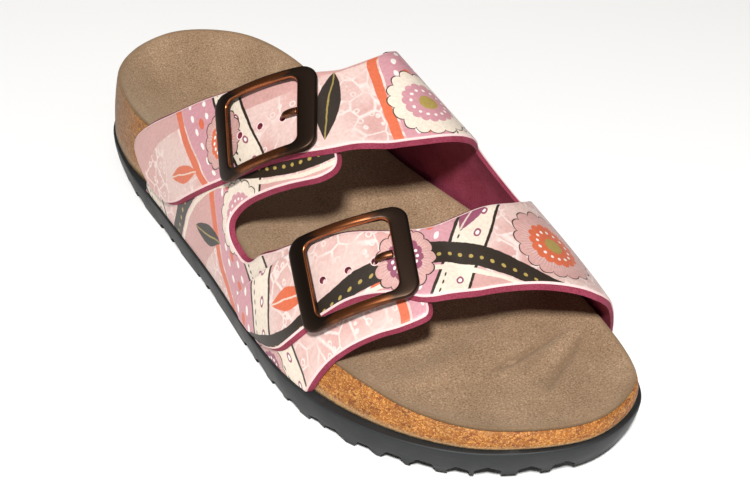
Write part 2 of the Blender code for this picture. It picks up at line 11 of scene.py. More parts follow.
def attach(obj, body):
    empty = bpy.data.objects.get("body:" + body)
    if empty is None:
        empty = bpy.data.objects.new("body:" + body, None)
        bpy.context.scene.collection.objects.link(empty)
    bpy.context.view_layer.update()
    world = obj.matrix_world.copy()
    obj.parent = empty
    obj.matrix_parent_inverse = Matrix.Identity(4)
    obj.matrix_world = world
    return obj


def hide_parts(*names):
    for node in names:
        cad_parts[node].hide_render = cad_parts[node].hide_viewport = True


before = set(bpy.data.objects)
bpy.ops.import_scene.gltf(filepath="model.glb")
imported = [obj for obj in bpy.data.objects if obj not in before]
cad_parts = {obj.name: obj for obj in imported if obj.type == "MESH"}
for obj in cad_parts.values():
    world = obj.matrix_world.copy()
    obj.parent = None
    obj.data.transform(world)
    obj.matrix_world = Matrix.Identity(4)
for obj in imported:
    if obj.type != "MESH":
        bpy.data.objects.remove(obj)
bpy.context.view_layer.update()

mm = 0.001
scene = bpy.context.scene

# Shape of the last and sole, in millimetres. A station runs from the back of the heel to the toe,
# a girth runs over the foot from the outer sole edge (0) to the inner one (1).
last = {"length": 253.3, "axisX": -4.2, "seatGap": 0.3, "wall": 2.2, "liningWall": 1.2,
        "upperInset": 2.7, "outerRoundness": 1.9, "innerRoundness": 2.15,
        "girthStep": 0.004, "stationStep": 1.0, "springFrom": 178.0, "springRise": 4.6}

# station, x
soleEdge = [(0.0, 0.0), (5.0, -19.0), (20.0, -34.0), (46.7, -42.0), (83.0, -45.0), (119.7, -48.0),
            (150.7, -52.0), (177.7, -53.6), (201.7, -49.0), (224.7, -37.0), (242.2, -19.0), (253.3, 8.0),
            (247.2, 31.5), (229.7, 42.5), (206.2, 46.7), (177.7, 45.1), (146.7, 38.5), (115.2, 33.5),
            (81.7, 33.8), (47.7, 35.5), (21.7, 29.5), (6.5, 17.0)]

levelNames = ("station", "soleTop", "rim", "footInset", "outerInset", "innerInset", "cup", "bedPower")
levelRows = [
    (0.0, 12.2, 34.4, 1.0, 3.0, 3.0, 11.0, 2.2),
    (25.0, 12.1, 34.7, 0.8, 2.8, 3.4, 13.0, 2.2),
    (48.0, 12.0, 34.4, 1.4, 3.6, 4.0, 12.8, 2.3),
    (66.0, 11.9, 33.8, 3.1, 6.0, 4.3, 12.0, 2.4),
    (90.0, 11.8, 32.6, 3.1, 6.2, 4.4, 10.0, 2.5),
    (135.0, 12.0, 29.6, 3.1, 6.2, 4.4, 6.5, 3.0),
    (178.0, 12.4, 26.3, 3.1, 6.4, 4.6, 5.0, 4.0),
    (205.0, 12.5, 23.4, 3.1, 5.8, 4.6, 4.6, 5.0),
    (222.0, 13.0, 21.7, 2.6, 3.8, 4.2, 4.2, 5.0),
    (238.0, 13.8, 20.8, 1.8, 2.4, 2.6, 3.6, 4.0),
    (253.3, 14.7, 20.6, 1.5, 2.0, 2.0, 3.0, 3.0),
]

# station, height and sideways place of the top of the foot
crestRows = [(40.0, 102.0, 7.0), (80.0, 94.0, 9.0), (110.0, 87.0, 11.0), (125.0, 83.0, 11.5),
             (155.0, 72.5, 11.5), (185.0, 60.5, 10.0), (215.0, 49.5, 8.0), (240.0, 42.0, 7.0)]


def smoothCurve(keys, values):  # smooth line through a short table
    keys, values = np.array(keys, float), np.array(values, float)
    place = np.arange(len(keys))
    low, high = np.maximum(place - 1, 0), np.minimum(place + 1, len(keys) - 1)
    slopes = (values[high] - values[low]) / (keys[high] - keys[low])

    def at(where):
        where = np.clip(where, keys[0], keys[-1])
        i = np.clip(np.searchsorted(keys, where, side="right") - 1, 0, len(keys) - 2)
        span = keys[i + 1] - keys[i]
        t = (where - keys[i]) / span
        start = (1 + 2 * t) * (1 - t) ** 2 * values[i] + t * (1 - t) ** 2 * span * slopes[i]
        end = t * t * (3 - 2 * t) * values[i + 1] + t * t * (t - 1) * span * slopes[i + 1]
        return start + end
    return at


def tableCurves(names, rows):
    columns = list(zip(*rows))
    return {name: smoothCurve(columns[0], column) for name, column in zip(names[1:], columns[1:])}


level = tableCurves(levelNames, levelRows)
crest = tableCurves(("station", "z", "x"), crestRows)


def soleOutline(count):  # even points (x, station) round the sole, from the heel by the outer side
    knots = np.array([(x, station) for station, x in soleEdge])
    steps = np.arange(0, 1, 1 / 24)[:, None]
    fine = []
    for i in range(len(knots)):
        a, b, c, d = (knots[(i + k) % len(knots)] for k in (-1, 0, 1, 2))
        bend, twist = 2 * a - 5 * b + 4 * c - d, 3 * b - a - 3 * c + d
        fine.append(b + 0.5 * ((c - a) * steps + bend * steps ** 2 + twist * steps ** 3))
    fine = np.vstack(fine + [fine[0][:1]])
    reach = np.concatenate([[0], np.cumsum(np.linalg.norm(np.diff(fine, axis=0), axis=1))])
    want = reach[-1] * np.arange(count) / count
    return np.stack([np.interp(want, reach, fine[:, 0]), np.interp(want, reach, fine[:, 1])], 1)


def insetLoop(loop, inset):
    along = np.roll(loop, -1, 0) - np.roll(loop, 1, 0)
    inward = np.stack([-along[:, 1], along[:, 0]], 1)
    inward /= np.linalg.norm(inward, axis=1)[:, None]
    towards = np.array([0.0, last["length"] / 2]) - loop
    inward[np.sum(inward * towards, 1) < 0] *= -1
    return loop + inward * np.reshape(inset, (-1, 1))


def loopSides(loop):  # outer and inner edge of a loop, as x at a station
    heel, toe = np.argmin(loop[:, 1]), np.argmax(loop[:, 1])
    ring = np.roll(loop, -heel, 0)
    split = (toe - heel) % len(loop)
    sides = ring[:split + 1], np.vstack([ring[:1], ring[:split - 1:-1]])
    return [lambda s, e=edge: np.interp(s, np.maximum.accumulate(e[:, 1]), e[:, 0]) for edge in sides]


fineEdge = soleOutline(720)
soleOuter, soleInner = loopSides(fineEdge)


def rimInset(loop):
    outer = loop[:, 0] < crest["x"](loop[:, 1])
    return np.where(outer, level["outerInset"](loop[:, 1]), level["innerInset"](loop[:, 1]))


rimOuter, rimInner = loopSides(insetLoop(fineEdge, rimInset(fineEdge)))


def toWorld(points):
    points = np.asarray(points, float)
    x, station, z = points[..., 0], points[..., 1], points[..., 2]
    return np.stack([x - last["axisX"], last["length"] / 2 - station, z], -1) * mm


def lastPoint(girth, station):
    girth, station = np.broadcast_arrays(np.asarray(girth, float), np.asarray(station, float))
    turn = np.abs(1 - 2 * girth) * math.pi / 2
    outer = girth < 0.5
    power = np.where(outer, 2 / last["outerRoundness"], 2 / last["innerRoundness"])
    footX = np.where(outer, soleOuter(station) + last["upperInset"], soleInner(station) - last["upperInset"])
    footZ = level["soleTop"](station) + last["seatGap"]
    x = crest["x"](station) + (footX - crest["x"](station)) * np.sin(turn) ** power
    z = footZ + (crest["z"](station) - footZ) * np.maximum(np.cos(turn), 0.0) ** power
    return np.stack([x, station, z], -1)


def lastNormal(girth, station):
    step, stride = last["girthStep"], last["stationStep"]
    along = lastPoint(np.minimum(girth + step, 1.0), station)
    along = along - lastPoint(np.maximum(girth - step, 0.0), station)
    forward = lastPoint(girth, station + stride) - lastPoint(girth, station - stride)
    normal = np.cross(along, forward)
    flat = (girth <= step) | (girth >= 1 - step)
    normal[..., 2] = np.where(flat, 0.0, normal[..., 2])
    return normal / np.linalg.norm(normal, axis=-1)[..., None]


def upperPoint(girth, station, lift):
    girth, station = np.broadcast_arrays(np.asarray(girth, float), np.asarray(station, float))
    return lastPoint(girth, station) + lastNormal(girth, station) * np.asarray(lift)[..., None]


def roundOff(progress, power=2.6):  # superellipse from 1 to 0
    return np.maximum(0.0, 1 - np.clip(progress, 0, 1) ** power) ** (1 / power)


def easedTo(low, high, count):  # values that close up towards high
    return low + (high - low) * np.sin(math.pi / 2 * np.linspace(0, 1, count))


def easedFrom(low, high, count):  # values that close up towards low
    return easedTo(high, low, count)[::-1]


def ease(t):
    t = np.clip(t, 0, 1)
    return t * t * (3 - 2 * t)


def hump(distance, reach):
    return np.exp(-(distance / reach) ** 2)


# Node helpers, which find the tree by the sockets that they are given

def plug(socket, value):
    if isinstance(value, bpy.types.NodeSocket):
        socket.id_data.links.new(value, socket)
    else:
        socket.default_value = value


def addNode(tree, kind, inputs=None, **settings):
    node = tree.nodes.new(kind)
    for name, value in settings.items():
        setattr(node, name, value)
    for name, value in (inputs or {}).items():
        plug(node.inputs[name], value)
    return node


def treeOf(values):
    return next(value.id_data for value in values if isinstance(value, bpy.types.NodeSocket))


def calc(operation, *values, clamp=False):
    inputs = dict(enumerate(values))
    return addNode(treeOf(values), "ShaderNodeMath", inputs, operation=operation, use_clamp=clamp).outputs[0]


add, sub, mul, div = (partial(calc, kind) for kind in ("ADD", "SUBTRACT", "MULTIPLY", "DIVIDE"))
mulAdd, absolute = partial(calc, "MULTIPLY_ADD"), partial(calc, "ABSOLUTE")


def vectors(operation, *values, **more):
    inputs = dict(enumerate(values)) | more
    return addNode(treeOf(values), "ShaderNodeVectorMath", inputs, operation=operation).outputs[0]


def blend(factor, a, b, kind="RGBA", mode="MIX"):
    first, result = (6, 2) if kind == "RGBA" else (2, 0)  # sockets of the first value and the result
    inputs = {0: factor, first: a, first + 1: b}
    node = addNode(treeOf(inputs.values()), "ShaderNodeMix", inputs, data_type=kind, blend_type=mode)
    return node.outputs[result]


def over(colour, code, mask, share=None):  # another colour laid over one, where the mask is
    return blend(mask if share is None else mul(mask, share), colour, srgb(code))


def toned(colour, tone):  # colour made lighter or darker
    grey = addNode(tone.id_data, "ShaderNodeCombineColor", {0: tone, 1: tone, 2: tone}).outputs[0]
    return blend(1.0, colour, grey, mode="MULTIPLY")


def ramp(value, low, high):  # 0 at low, 1 at high
    inputs = {"Value": value, "From Min": low, "From Max": high}
    return addNode(value.id_data, "ShaderNodeMapRange", inputs, interpolation_type="SMOOTHSTEP").outputs[0]


def noise(place, scale, detail, **more):
    inputs = {"Vector": place, "Scale": scale, "Detail": detail} | more
    return addNode(place.id_data, "ShaderNodeTexNoise", inputs).outputs


def cells(place, scale, feature="F1", **more):
    inputs = {"Vector": place, "Scale": scale} | more
    return addNode(place.id_data, "ShaderNodeTexVoronoi", inputs, feature=feature).outputs


def mapped(place, **values):
    return addNode(place.id_data, "ShaderNodeMapping", {"Vector": place} | values).outputs[0]


def split(value, kind="XYZ"):
    return addNode(value.id_data, "ShaderNodeSeparate" + kind, {0: value}).outputs


def attribute(tree, name):
    return addNode(tree, "ShaderNodeAttribute", attribute_name=name).outputs["Fac"]


def newGroup(name, outputs, **inputs):  # inputs are numbers, or a vector where no value is given
    tree = bpy.data.node_groups.new(name, "ShaderNodeTree")
    for socketName, value in inputs.items():
        kind = "NodeSocketVector" if value is None else "NodeSocketFloat"
        socket = tree.interface.new_socket(socketName, in_out="INPUT", socket_type=kind)
        if value is not None:
            socket.default_value = value
    for socketName in outputs.split():
        tree.interface.new_socket(socketName, in_out="OUTPUT", socket_type="NodeSocketFloat")
    return tree, tree.nodes.new("NodeGroupInput").outputs, tree.nodes.new("NodeGroupOutput").inputs


def useGroup(group, **inputs):
    return addNode(treeOf(inputs.values()), "ShaderNodeGroup", inputs, node_tree=group).outputs


def srgb(code):  # hex colour to linear
    parts = [int(code[i:i + 2], 16) / 255 for i in (1, 3, 5)]
    return tuple(p / 12.92 if p <= 0.04045 else ((p + 0.055) / 1.055) ** 2.4 for p in parts) + (1.0,)


def newMaterial(name, **values):
    material = bpy.data.materials.new(name)
    material.use_nodes = True
    tree = material.node_tree
    shader = tree.nodes["Principled BSDF"]
    for socket, value in values.items():
        shader.inputs[socket.replace("_", " ")].default_value = value
    return material, tree, shader.inputs


def objectPlace(tree):  # object coordinates, in millimetres
    return vectors("SCALE", addNode(tree, "ShaderNodeTexCoord").outputs["Object"], Scale=1 / mm)


def addBump(sockets, height, strength, distance):
    inputs = {"Height": height, "Strength": strength, "Distance": distance * mm}
    plug(sockets["Normal"], addNode(height.id_data, "ShaderNodeBump", inputs).outputs[0])


# Effects that several finishes share

def makeMottle():  # soft patches and fine speckle, both about 0
    tree, given, out = newGroup("mottle", "Patches Specks", Place=None, Patch=12.0, Speck=0.6)
    for reach, result, detail in (("Patch", "Patches", 3.0), ("Speck", "Specks", 2.0)):
        spots = noise(given["Place"], div(1.0, given[reach]), detail)["Fac"]
        plug(out[result], sub(spots, 0.5))
    return tree


def makeFibre():  # short fibres of a cut or brushed hide, as a height
    tree, given, out = newGroup("fibre", "Height", Place=None, Length=1.2)
    scale = div(1.0, given["Length"])
    bent = noise(given["Place"], scale, 4.0, Roughness=0.7, Distortion=1.6)["Fac"]
    tufts = cells(given["Place"], mul(scale, 2.4))["Distance"]
    plug(out["Height"], mulAdd(tufts, 0.35, bent))
    return tree


mottle, fibre = makeMottle(), makeFibre()


# Mesh helpers

def linkMesh(name, mesh, material=None):
    if material:
        mesh.materials.append(material)
    piece = bpy.data.objects.new(name, mesh)
    scene.collection.objects.link(piece)
    return piece


def linkSolid(name, bm, material):
    mesh = bpy.data.meshes.new(name)
    bm.to_mesh(mesh)
    bm.free()
    return linkMesh(name, mesh, material)


def meshPiece(name, vertices, faces, material=None, layers=None):
    mesh = bpy.data.meshes.new(name)
    mesh.from_pydata([tuple(v) for v in vertices], [], faces)
    for layer, values in (layers or {}).items():
        values = np.asarray(values, np.float32)
        mesh.attributes.new(layer, "FLOAT", "POINT").data.foreach_set("value", values)
    mesh.shade_smooth()
    return linkMesh(name, mesh, material)


def pointCloud(name, points, axes):
    cloud = meshPiece(name, points, [])
    axes = np.ravel(axes).astype(np.float32)
    cloud.data.attributes.new("axis", "FLOAT_VECTOR", "POINT").data.foreach_set("vector", axes)
    return cloud


def faceOut(piece):  # normals outward, end faces in triangles
    bm = bmesh.new()
    bm.from_mesh(piece.data)
    bmesh.ops.triangulate(bm, faces=[face for face in bm.faces if len(face.verts) > 4])
    bmesh.ops.recalc_face_normals(bm, faces=bm.faces)
    bm.to_mesh(piece.data)
    bm.free()


def ringFaces(rows, count, closed=False):  # quads between loops of equal counts
    faces = []
    for row in range(rows if closed else rows - 1):
        above = (row + 1) % rows
        for i in range(count):
            j = (i + 1) % count
            faces.append((row * count + i, row * count + j, above * count + j, above * count + i))
    return faces


def loopBody(name, loops, material, layers=None):  # closed body through loops of equal counts
    count, vertices = len(loops[0]), np.vstack(loops)
    ends = [list(range(count)), list(range(len(vertices) - count, len(vertices)))]
    piece = meshPiece(name, vertices, ringFaces(len(loops), count) + ends, material, layers)
    faceOut(piece)
    return piece


def spineLoop(loop, share, low=45.0, high=210.0):  # loop drawn in towards the middle line of the sole
    station = np.clip(loop[:, 1], low, high)
    middle = np.stack([(soleOuter(station) + soleInner(station)) / 2, station], 1)
    return loop + (middle - loop) * share


def placedLoop(loop, z):
    return toWorld(np.column_stack([loop, np.broadcast_to(z, len(loop))]))


def toeSpring(station):
    rise = np.maximum(0.0, station - last["springFrom"]) / (last["length"] - last["springFrom"])
    return last["springRise"] * rise * rise


def bake(piece):  # modifiers made plain mesh
    depsgraph = bpy.context.evaluated_depsgraph_get()
    mesh = bpy.data.meshes.new_from_object(piece.evaluated_get(depsgraph))
    piece.modifiers.clear()
    piece.data = mesh


def cutWith(piece, cutter):
    cut = piece.modifiers.new("Cut", "BOOLEAN")
    cut.operation = "DIFFERENCE"
    cut.use_self = True  # cutters may touch one another
    cut.object = cutter
    bake(piece)
    bpy.data.objects.remove(cutter, do_unlink=True)


def placePiece(piece, slot, *nodes):
    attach(piece, "root")
    if nodes:
        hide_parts(*nodes)
    print("placed", piece.name, len(piece.data.polygons), "faces")


# Geometry node helpers

hideLayer = {"inside": 0.0, "edge": 0.2, "film": 0.7, "face": 1.0}  # what a face of leather shows


def newGeometryTree(name, **inputs):
    tree = bpy.data.node_groups.new(name, "GeometryNodeTree")
    tree.interface.new_socket("Geometry", in_out="INPUT", socket_type="NodeSocketGeometry")
    for socketName, value in inputs.items():
        kind = "NodeSocketInt" if isinstance(value, int) else "NodeSocketFloat"
        tree.interface.new_socket(socketName, in_out="INPUT", socket_type=kind).default_value = value
    tree.interface.new_socket("Geometry", in_out="OUTPUT", socket_type="NodeSocketGeometry")
    return tree, tree.nodes.new("NodeGroupInput").outputs, tree.nodes.new("NodeGroupOutput").inputs


def endTree(tree, copies, material, out):
    real = addNode(tree, "GeometryNodeRealizeInstances", {"Geometry": copies}).outputs[0]
    painted = addNode(tree, "GeometryNodeSetMaterial", {"Geometry": real, "Material": material})
    plug(out["Geometry"], painted.outputs[0])
    return tree


def runTree(piece, tree, **values):
    modifier = piece.modifiers.new(tree.name, "NODES")
    modifier.node_group = tree
    for item in tree.interface.items_tree:
        if item.in_out == "INPUT" and item.name in values:
            modifier[item.identifier] = values[item.name]
    bake(piece)
    return piece


def copiesAt(tree, points, shape, scale):  # a copy of a shape at each point, turned to the point's own axis
    axis = addNode(tree, "GeometryNodeInputNamedAttribute", {"Name": "axis"}, data_type="FLOAT_VECTOR")
    turn = addNode(tree, "FunctionNodeAlignRotationToVector", {"Vector": axis.outputs[0]}, axis="Z")
    inputs = {"Points": points, "Instance": shape, "Scale": scale, "Rotation": turn.outputs[0]}
    return addNode(tree, "GeometryNodeInstanceOnPoints", inputs).outputs[0]


def makeCutterTree(name, material, sides):  # a round punch at each point, along the point's own axis
    tree, given, out = newGeometryTree(name, Radius=0.001, Depth=0.01, Uneven=0.0, Seed=1)
    inputs = {"Vertices": sides, "Radius": given["Radius"], "Depth": given["Depth"]}
    punch = addNode(tree, "GeometryNodeMeshCylinder", inputs).outputs["Mesh"]
    inputs = {2: sub(1.0, given["Uneven"]), 3: 1.0, "Seed": given["Seed"]}
    wide = addNode(tree, "FunctionNodeRandomValue", inputs, data_type="FLOAT").outputs[1]
    stretch = addNode(tree, "ShaderNodeCombineXYZ", {"X": wide, "Y": wide, "Z": 1.0}).outputs[0]
    return endTree(tree, copiesAt(tree, given["Geometry"], punch, stretch), material, out)


def makeRimTree(name, material, sides, tubeSides=8):  # a ring of pale film at each point, square to its axis
    tree, given, out = newGeometryTree(name, Radius=0.001, Thick=0.0002)

    def circle(steps, radius):
        inputs = {"Resolution": steps, "Radius": radius}
        return addNode(tree, "GeometryNodeCurvePrimitiveCircle", inputs).outputs[0]

    inputs = {"Curve": circle(sides, given["Radius"]), "Profile Curve": circle(tubeSides, given["Thick"])}
    tube = addNode(tree, "GeometryNodeCurveToMesh", inputs).outputs[0]
    inputs = {"Geometry": tube, "Name": "layer", "Value": hideLayer["film"]}
    film = addNode(tree, "GeometryNodeStoreNamedAttribute", inputs, data_type="FLOAT", domain="FACE")
    return endTree(tree, copiesAt(tree, given["Geometry"], film.outputs[0], (1.0, 1.0, 1.0)), material, out)


# Outsole

sole = {"points": 696, "edgeRound": 0.7, "draft": 2.9, "bottomRound": 0.8, "creaseDeg": 38.0,
        "lugs": 58, "lugPoints": 40, "lugStart": 0.625, "jitter": 0.2, "plain": 0.15,
        "notchRadius": 4.9, "notchReach": 10.0, "notchPast": 8.0, "notchUneven": 0.3, "notchSides": 6,
        "treadStations": [28.0, 44.0, 60.0, 76.0, 150.0, 166.0, 182.0, 198.0, 212.0],
        "treadWidth": 3.2, "treadDepth": 1.8, "treadChevron": 6.0, "treadMargin": 14.0,
        "colour": "#191b1c", "worn": "#6c6d6d", "seed": 11}


def foamMaterial():
    material, tree, sockets = newMaterial("charcoalFoam", Roughness=0.62)
    place = objectPlace(tree)
    spots = useGroup(mottle, Place=place, Patch=14.0, Speck=0.5)
    base = toned(srgb(sole["colour"]), mulAdd(spots["Patches"], 0.9, 1.0))
    scuff = noise(mapped(place, Scale=(0.05, 0.05, 0.9)), 1.6, 6.0, Roughness=0.7)["Fac"]
    low = sub(1.0, ramp(split(place)["Z"], 0.5, 9.0))
    rubbed = mul(ramp(scuff, 0.56, 0.74), mulAdd(low, 0.35, 0.12))
    plug(sockets["Base Color"], over(base, sole["worn"], rubbed))
    plug(sockets["Roughness"], mulAdd(spots["Patches"], 0.5, 0.6))
    addBump(sockets, mulAdd(spots["Patches"], 0.7, spots["Specks"]), 0.35, 0.12)
    return material


def treadBars(material):
    bm = bmesh.new()
    half, depth = sole["treadWidth"] / 2, sole["treadDepth"]
    for station in sole["treadStations"]:
        outer = float(soleOuter(station)) + sole["treadMargin"]
        inner = float(soleInner(station)) - sole["treadMargin"]
        rows = []
        for x, push in ((outer, 0.0), ((outer + inner) / 2, sole["treadChevron"]), (inner, 0.0)):
            at = station + push
            spring = float(toeSpring(at))
            corners = [(at - half, -depth), (at + half, -depth), (at + half, depth), (at - half, depth)]
            rows.append([bm.verts.new(toWorld((x, s, spring + z))) for s, z in corners])
        for a, b in zip(rows, rows[1:]):
            for k in range(4):
                bm.faces.new((a[k], a[(k + 1) % 4], b[(k + 1) % 4], b[k]))
        bm.faces.new(rows[0])
        bm.faces.new(rows[-1])
    bmesh.ops.recalc_face_normals(bm, faces=bm.faces)
    return linkSolid("treadBars", bm, material)


def edgeNotches(material):  # a notch between neighbouring lugs all round the bottom edge
    rng = np.random.default_rng(sole["seed"])
    lugs, fine = sole["lugs"], sole["lugPoints"]
    edge = soleOutline(lugs * fine)
    pick = (np.arange(lugs) + sole["lugStart"] + rng.uniform(-1, 1, lugs) * sole["jitter"]) * fine
    pick = pick[rng.uniform(0, 1, lugs) > sole["plain"]]  # some neighbouring lugs run together
    index = np.round(pick).astype(int) % len(edge)
    spring = toeSpring(edge[index, 1])
    spots = placedLoop(insetLoop(edge, sole["notchReach"] / 2)[index], spring)
    cloud = pointCloud("edgeNotches", spots, placedLoop(edge[index], spring) - spots)
    tree = makeCutterTree("edgeNotches", material, sole["notchSides"])
    depth = sole["notchReach"] + sole["notchPast"]
    return runTree(cloud, tree, Radius=sole["notchRadius"] * mm, Depth=depth * mm,
                   Uneven=sole["notchUneven"], Seed=sole["seed"])


def buildOutsole():
    material = foamMaterial()
    edge = soleOutline(sole["points"])
    top, spring = level["soleTop"](edge[:, 1]), toeSpring(edge[:, 1])
    loops = []

    def ring(inset, z):
        loops.append(placedLoop(insetLoop(edge, inset), z))

    def flatRings(shares, heightAt):
        for share in shares:
            inner = spineLoop(edge, share)
            loops.append(placedLoop(inner, heightAt(inner[:, 1])))

    curve = np.linspace(0, math.pi / 2, 5)
    flatRings((0.97, 0.6, 0.25), level["soleTop"])
    for turn in curve:  # rounded top edge
        ring(sole["edgeRound"] * (1 - math.sin(turn)), top - sole["edgeRound"] * (1 - math.cos(turn)))
    for share in (0.25, 0.5, 0.75):
        ring(sole["draft"] * share ** 2, top + (spring - top) * share)
    for turn in curve:  # rounded bottom edge
        inset = sole["draft"] * 0.8 + sole["bottomRound"] * (1 - math.cos(turn))
        ring(inset, spring + sole["bottomRound"] * (1 - math.sin(turn)))
    flatRings((0.25, 0.5, 0.75, 0.97), toeSpring)
    piece = loopBody("outsole_foam", loops, material)
    cutWith(piece, edgeNotches(material))
    cutWith(piece, treadBars(material))
    piece.data.shade_smooth()
    piece.data.set_sharp_from_angle(angle=math.radians(sole["creaseDeg"]))
    placePiece(piece, "sole_rubber", "outsole")


buildOutsole()

# Cork footbed and its suede lining

bed = {"points": 560, "arch": (5.0, 108.0, 30.0, 0.62, 0.34), "pad": (2.6, 152.0, 18.0, -0.05, 0.45),
       "barHeight": 2.4, "barLength": 7.0, "barStation": 207.0, "barSlant": 10.0, "barBow": 8.0,
       "sideBulge": 0.5, "rimRound": 0.5,
       "cork": "#97591b", "corkDark": "#783f13", "corkLight": "#c88e48", "corkPale": "#bfa27a",
       "heelDull": "#7d6449", "heelDullFrom": 20.0, "heelDullTo": 105.0}

# Creases that the toes press into the lining: from x, station to x, station, depth, reach
toeCreases = [(-6.0, 217.0, 28.0, 213.0, 0.9, 3.2), (5.0, 233.0, 36.0, 214.5, 0.8, 3.2),
              (2.0, 224.5, 32.0, 213.5, -1.3, 6.0), (-32.0, 213.0, -6.0, 219.0, 0.4, 3.6)]


def moundHeight(values, station, across):
    height, middle, length, side, width = values
    return height * np.exp(-((station - middle) / length) ** 2 - ((across - side) / width) ** 2)


def bedHeight(x, station):
    outer, inner = rimOuter(station), rimInner(station)
    across = np.clip((x - (outer + inner) / 2) / np.maximum((inner - outer) / 2, 0.01), -1, 1)
    heel, toe = levelRows[0][4], last["length"] - levelRows[-1][4]
    ends = 1 - np.clip(np.abs(2 * (station - heel) / (toe - heel) - 1), 0, 1) ** 7
    dip = level["cup"](station) * ends * (1 - np.abs(across) ** level["bedPower"](station))
    barAt = bed["barStation"] - bed["barSlant"] * across - bed["barBow"] * across ** 2
    bar = bed["barHeight"] * hump(station - barAt, bed["barLength"]) * (1 - across ** 4)
    mounds = moundHeight(bed["arch"], station, across) + moundHeight(bed["pad"], station, across) + bar
    return level["rim"](station) - dip + mounds * (1 - across ** 8)


def creaseDepth(x, station):
    total = np.zeros_like(x)
    for x0, s0, x1, s1, depth, reach in toeCreases:
        run = np.array([x1 - x0, s1 - s0])
        t = np.clip(((x - x0) * run[0] + (station - s0) * run[1]) / run.dot(run), 0, 1)
        away = np.hypot(x - x0 - t * run[0], station - s0 - t * run[1])
        fade = ease(np.minimum(t, 1 - t) * 4 + 0.15)
        total -= depth * fade * (hump(away, reach * 0.45) - 0.55 * hump(away, reach * 1.6))
    return total


def corkMaterial():
    material, tree, sockets = newMaterial("groundCork", Roughness=0.6)
    place = objectPlace(tree)
    bent = vectors("MULTIPLY_ADD", noise(place, 0.9, 3.0)["Color"], (1.6, 1.6, 1.6), place)
    flat = mapped(bent, Scale=(1.0, 1.0, 1.5))
    grains = cells(flat, 0.8)
    pick, small = split(grains["Color"], "Color"), split(cells(flat, 2.4)["Color"], "Color")
    colour = blend(ramp(pick[0], 0.6, 0.9), srgb(bed["cork"]), srgb(bed["corkDark"]))
    colour = over(colour, bed["corkLight"], ramp(pick[1], 0.8, 0.9), 0.5)
    colour = over(colour, bed["corkLight"], ramp(small[0], 0.72, 0.8), 0.85)
    colour = over(colour, bed["corkDark"], ramp(small[1], 0.84, 0.9), 0.6)
    spots = useGroup(mottle, Place=place, Patch=9.0, Speck=0.35)
    colour = toned(colour, mulAdd(spots["Patches"], 0.9, 1.0))
    edgeNoise = mulAdd(spots["Specks"], 0.5, attribute(tree, "low"))
    colour = over(colour, bed["corkPale"], ramp(edgeNoise, 0.72, 0.98), 0.7)
    # the cork turns a duller grey-brown towards the heel, in patches
    heelDulling = mulAdd(spots["Patches"], 0.9, ramp(split(place)["Y"], bed["heelDullFrom"], bed["heelDullTo"]))
    plug(sockets["Base Color"], over(colour, bed["heelDull"], ramp(heelDulling, 0.25, 1.15), 0.75))
    plug(sockets["Roughness"], mulAdd(pick[2], 0.25, 0.5))
    addBump(sockets, mulAdd(grains["Distance"], 0.8, spots["Specks"]), 0.5, 0.25)
    return material


def buildFootbed():
    outline = soleOutline(bed["points"])
    rim = insetLoop(outline, rimInset(outline))
    foot = insetLoop(outline, level["footInset"](outline[:, 1]))
    loops, low = [], []

    def addLoop(loop, z, mark):
        loops.append(placedLoop(loop, z))
        low.append(np.full(len(loop), mark))

    for share in (0.97, 0.8, 0.6, 0.4, 0.25, 0.14, 0.07, 0.03):
        inner = spineLoop(rim, share)
        addLoop(inner, bedHeight(inner[:, 0], inner[:, 1]), 0.0)
    topZ, floor = level["rim"](rim[:, 1]), level["soleTop"](foot[:, 1]) + last["seatGap"]
    for turn in np.linspace(0.2, math.pi / 2, 4):  # rounded rim
        inset = bed["rimRound"] * (1 - math.sin(turn))
        addLoop(insetLoop(rim, inset), topZ - bed["rimRound"] * (1 - math.cos(turn)), 0.0)
    for share in np.linspace(0.1, 1.0, 10):
        bulge = bed["sideBulge"] * math.sin(math.pi * share)
        addLoop(insetLoop(rim + (foot - rim) * share, -bulge), topZ + (floor - topZ) * share, share)
    for share in (0.2, 0.6, 0.97):
        inner = spineLoop(foot, share)
        addLoop(inner, level["soleTop"](inner[:, 1]) + last["seatGap"], 1.0)
    piece = loopBody("footbed_cork", loops, corkMaterial(), {"low": np.concatenate(low)})
    placePiece(piece, "cork", "footbed")


buildFootbed()

lining = {"rings": 64, "edge": 0.35, "edgeRound": 1.0, "rimFade": 18.0, "colour": "#94785d",
          "dark": "#745c45", "light": "#b3967a", "frayed": "#4d3b26", "sheen": "#d8c6a8"}


def suedeMaterial():
    sheen = {"Sheen_Weight": 0.35, "Sheen_Roughness": 0.5, "Sheen_Tint": srgb(lining["sheen"])}
    material, tree, sockets = newMaterial("taupeSuede", Roughness=0.95, Specular_IOR_Level=0.2, **sheen)
    place = objectPlace(tree)
    spots = useGroup(mottle, Place=place, Patch=16.0, Speck=0.55)
    brushed = mapped(place, Rotation=(0, 0, 0.6), Scale=(0.9, 0.3, 0.9))
    streak = noise(brushed, 0.32, 5.0, Roughness=0.65)["Fac"]
    tone = mulAdd(spots["Patches"], 0.5, mulAdd(spots["Specks"], 1.5, 0.5))
    colour = blend(ramp(tone, 0.12, 0.5), srgb(lining["dark"]), srgb(lining["colour"]))
    colour = over(colour, lining["light"], ramp(tone, 0.5, 0.88))
    colour = over(colour, lining["light"], ramp(streak, 0.55, 0.75), 0.3)
    frayed = mulAdd(spots["Specks"], 1.2, attribute(tree, "edge"))
    colour = over(colour, lining["frayed"], ramp(frayed, 0.35, 0.9), 0.75)
    # painted shade: the lining's dark tone is laid into the pressed toe creases
    plug(sockets["Base Color"], over(colour, lining["dark"], attribute(tree, "paintedCreaseShade"), 0.5))
    nap = useGroup(fibre, Place=place, Length=0.55)["Height"]
    addBump(sockets, mulAdd(streak, 0.8, nap), 0.55, 0.22)
    return material


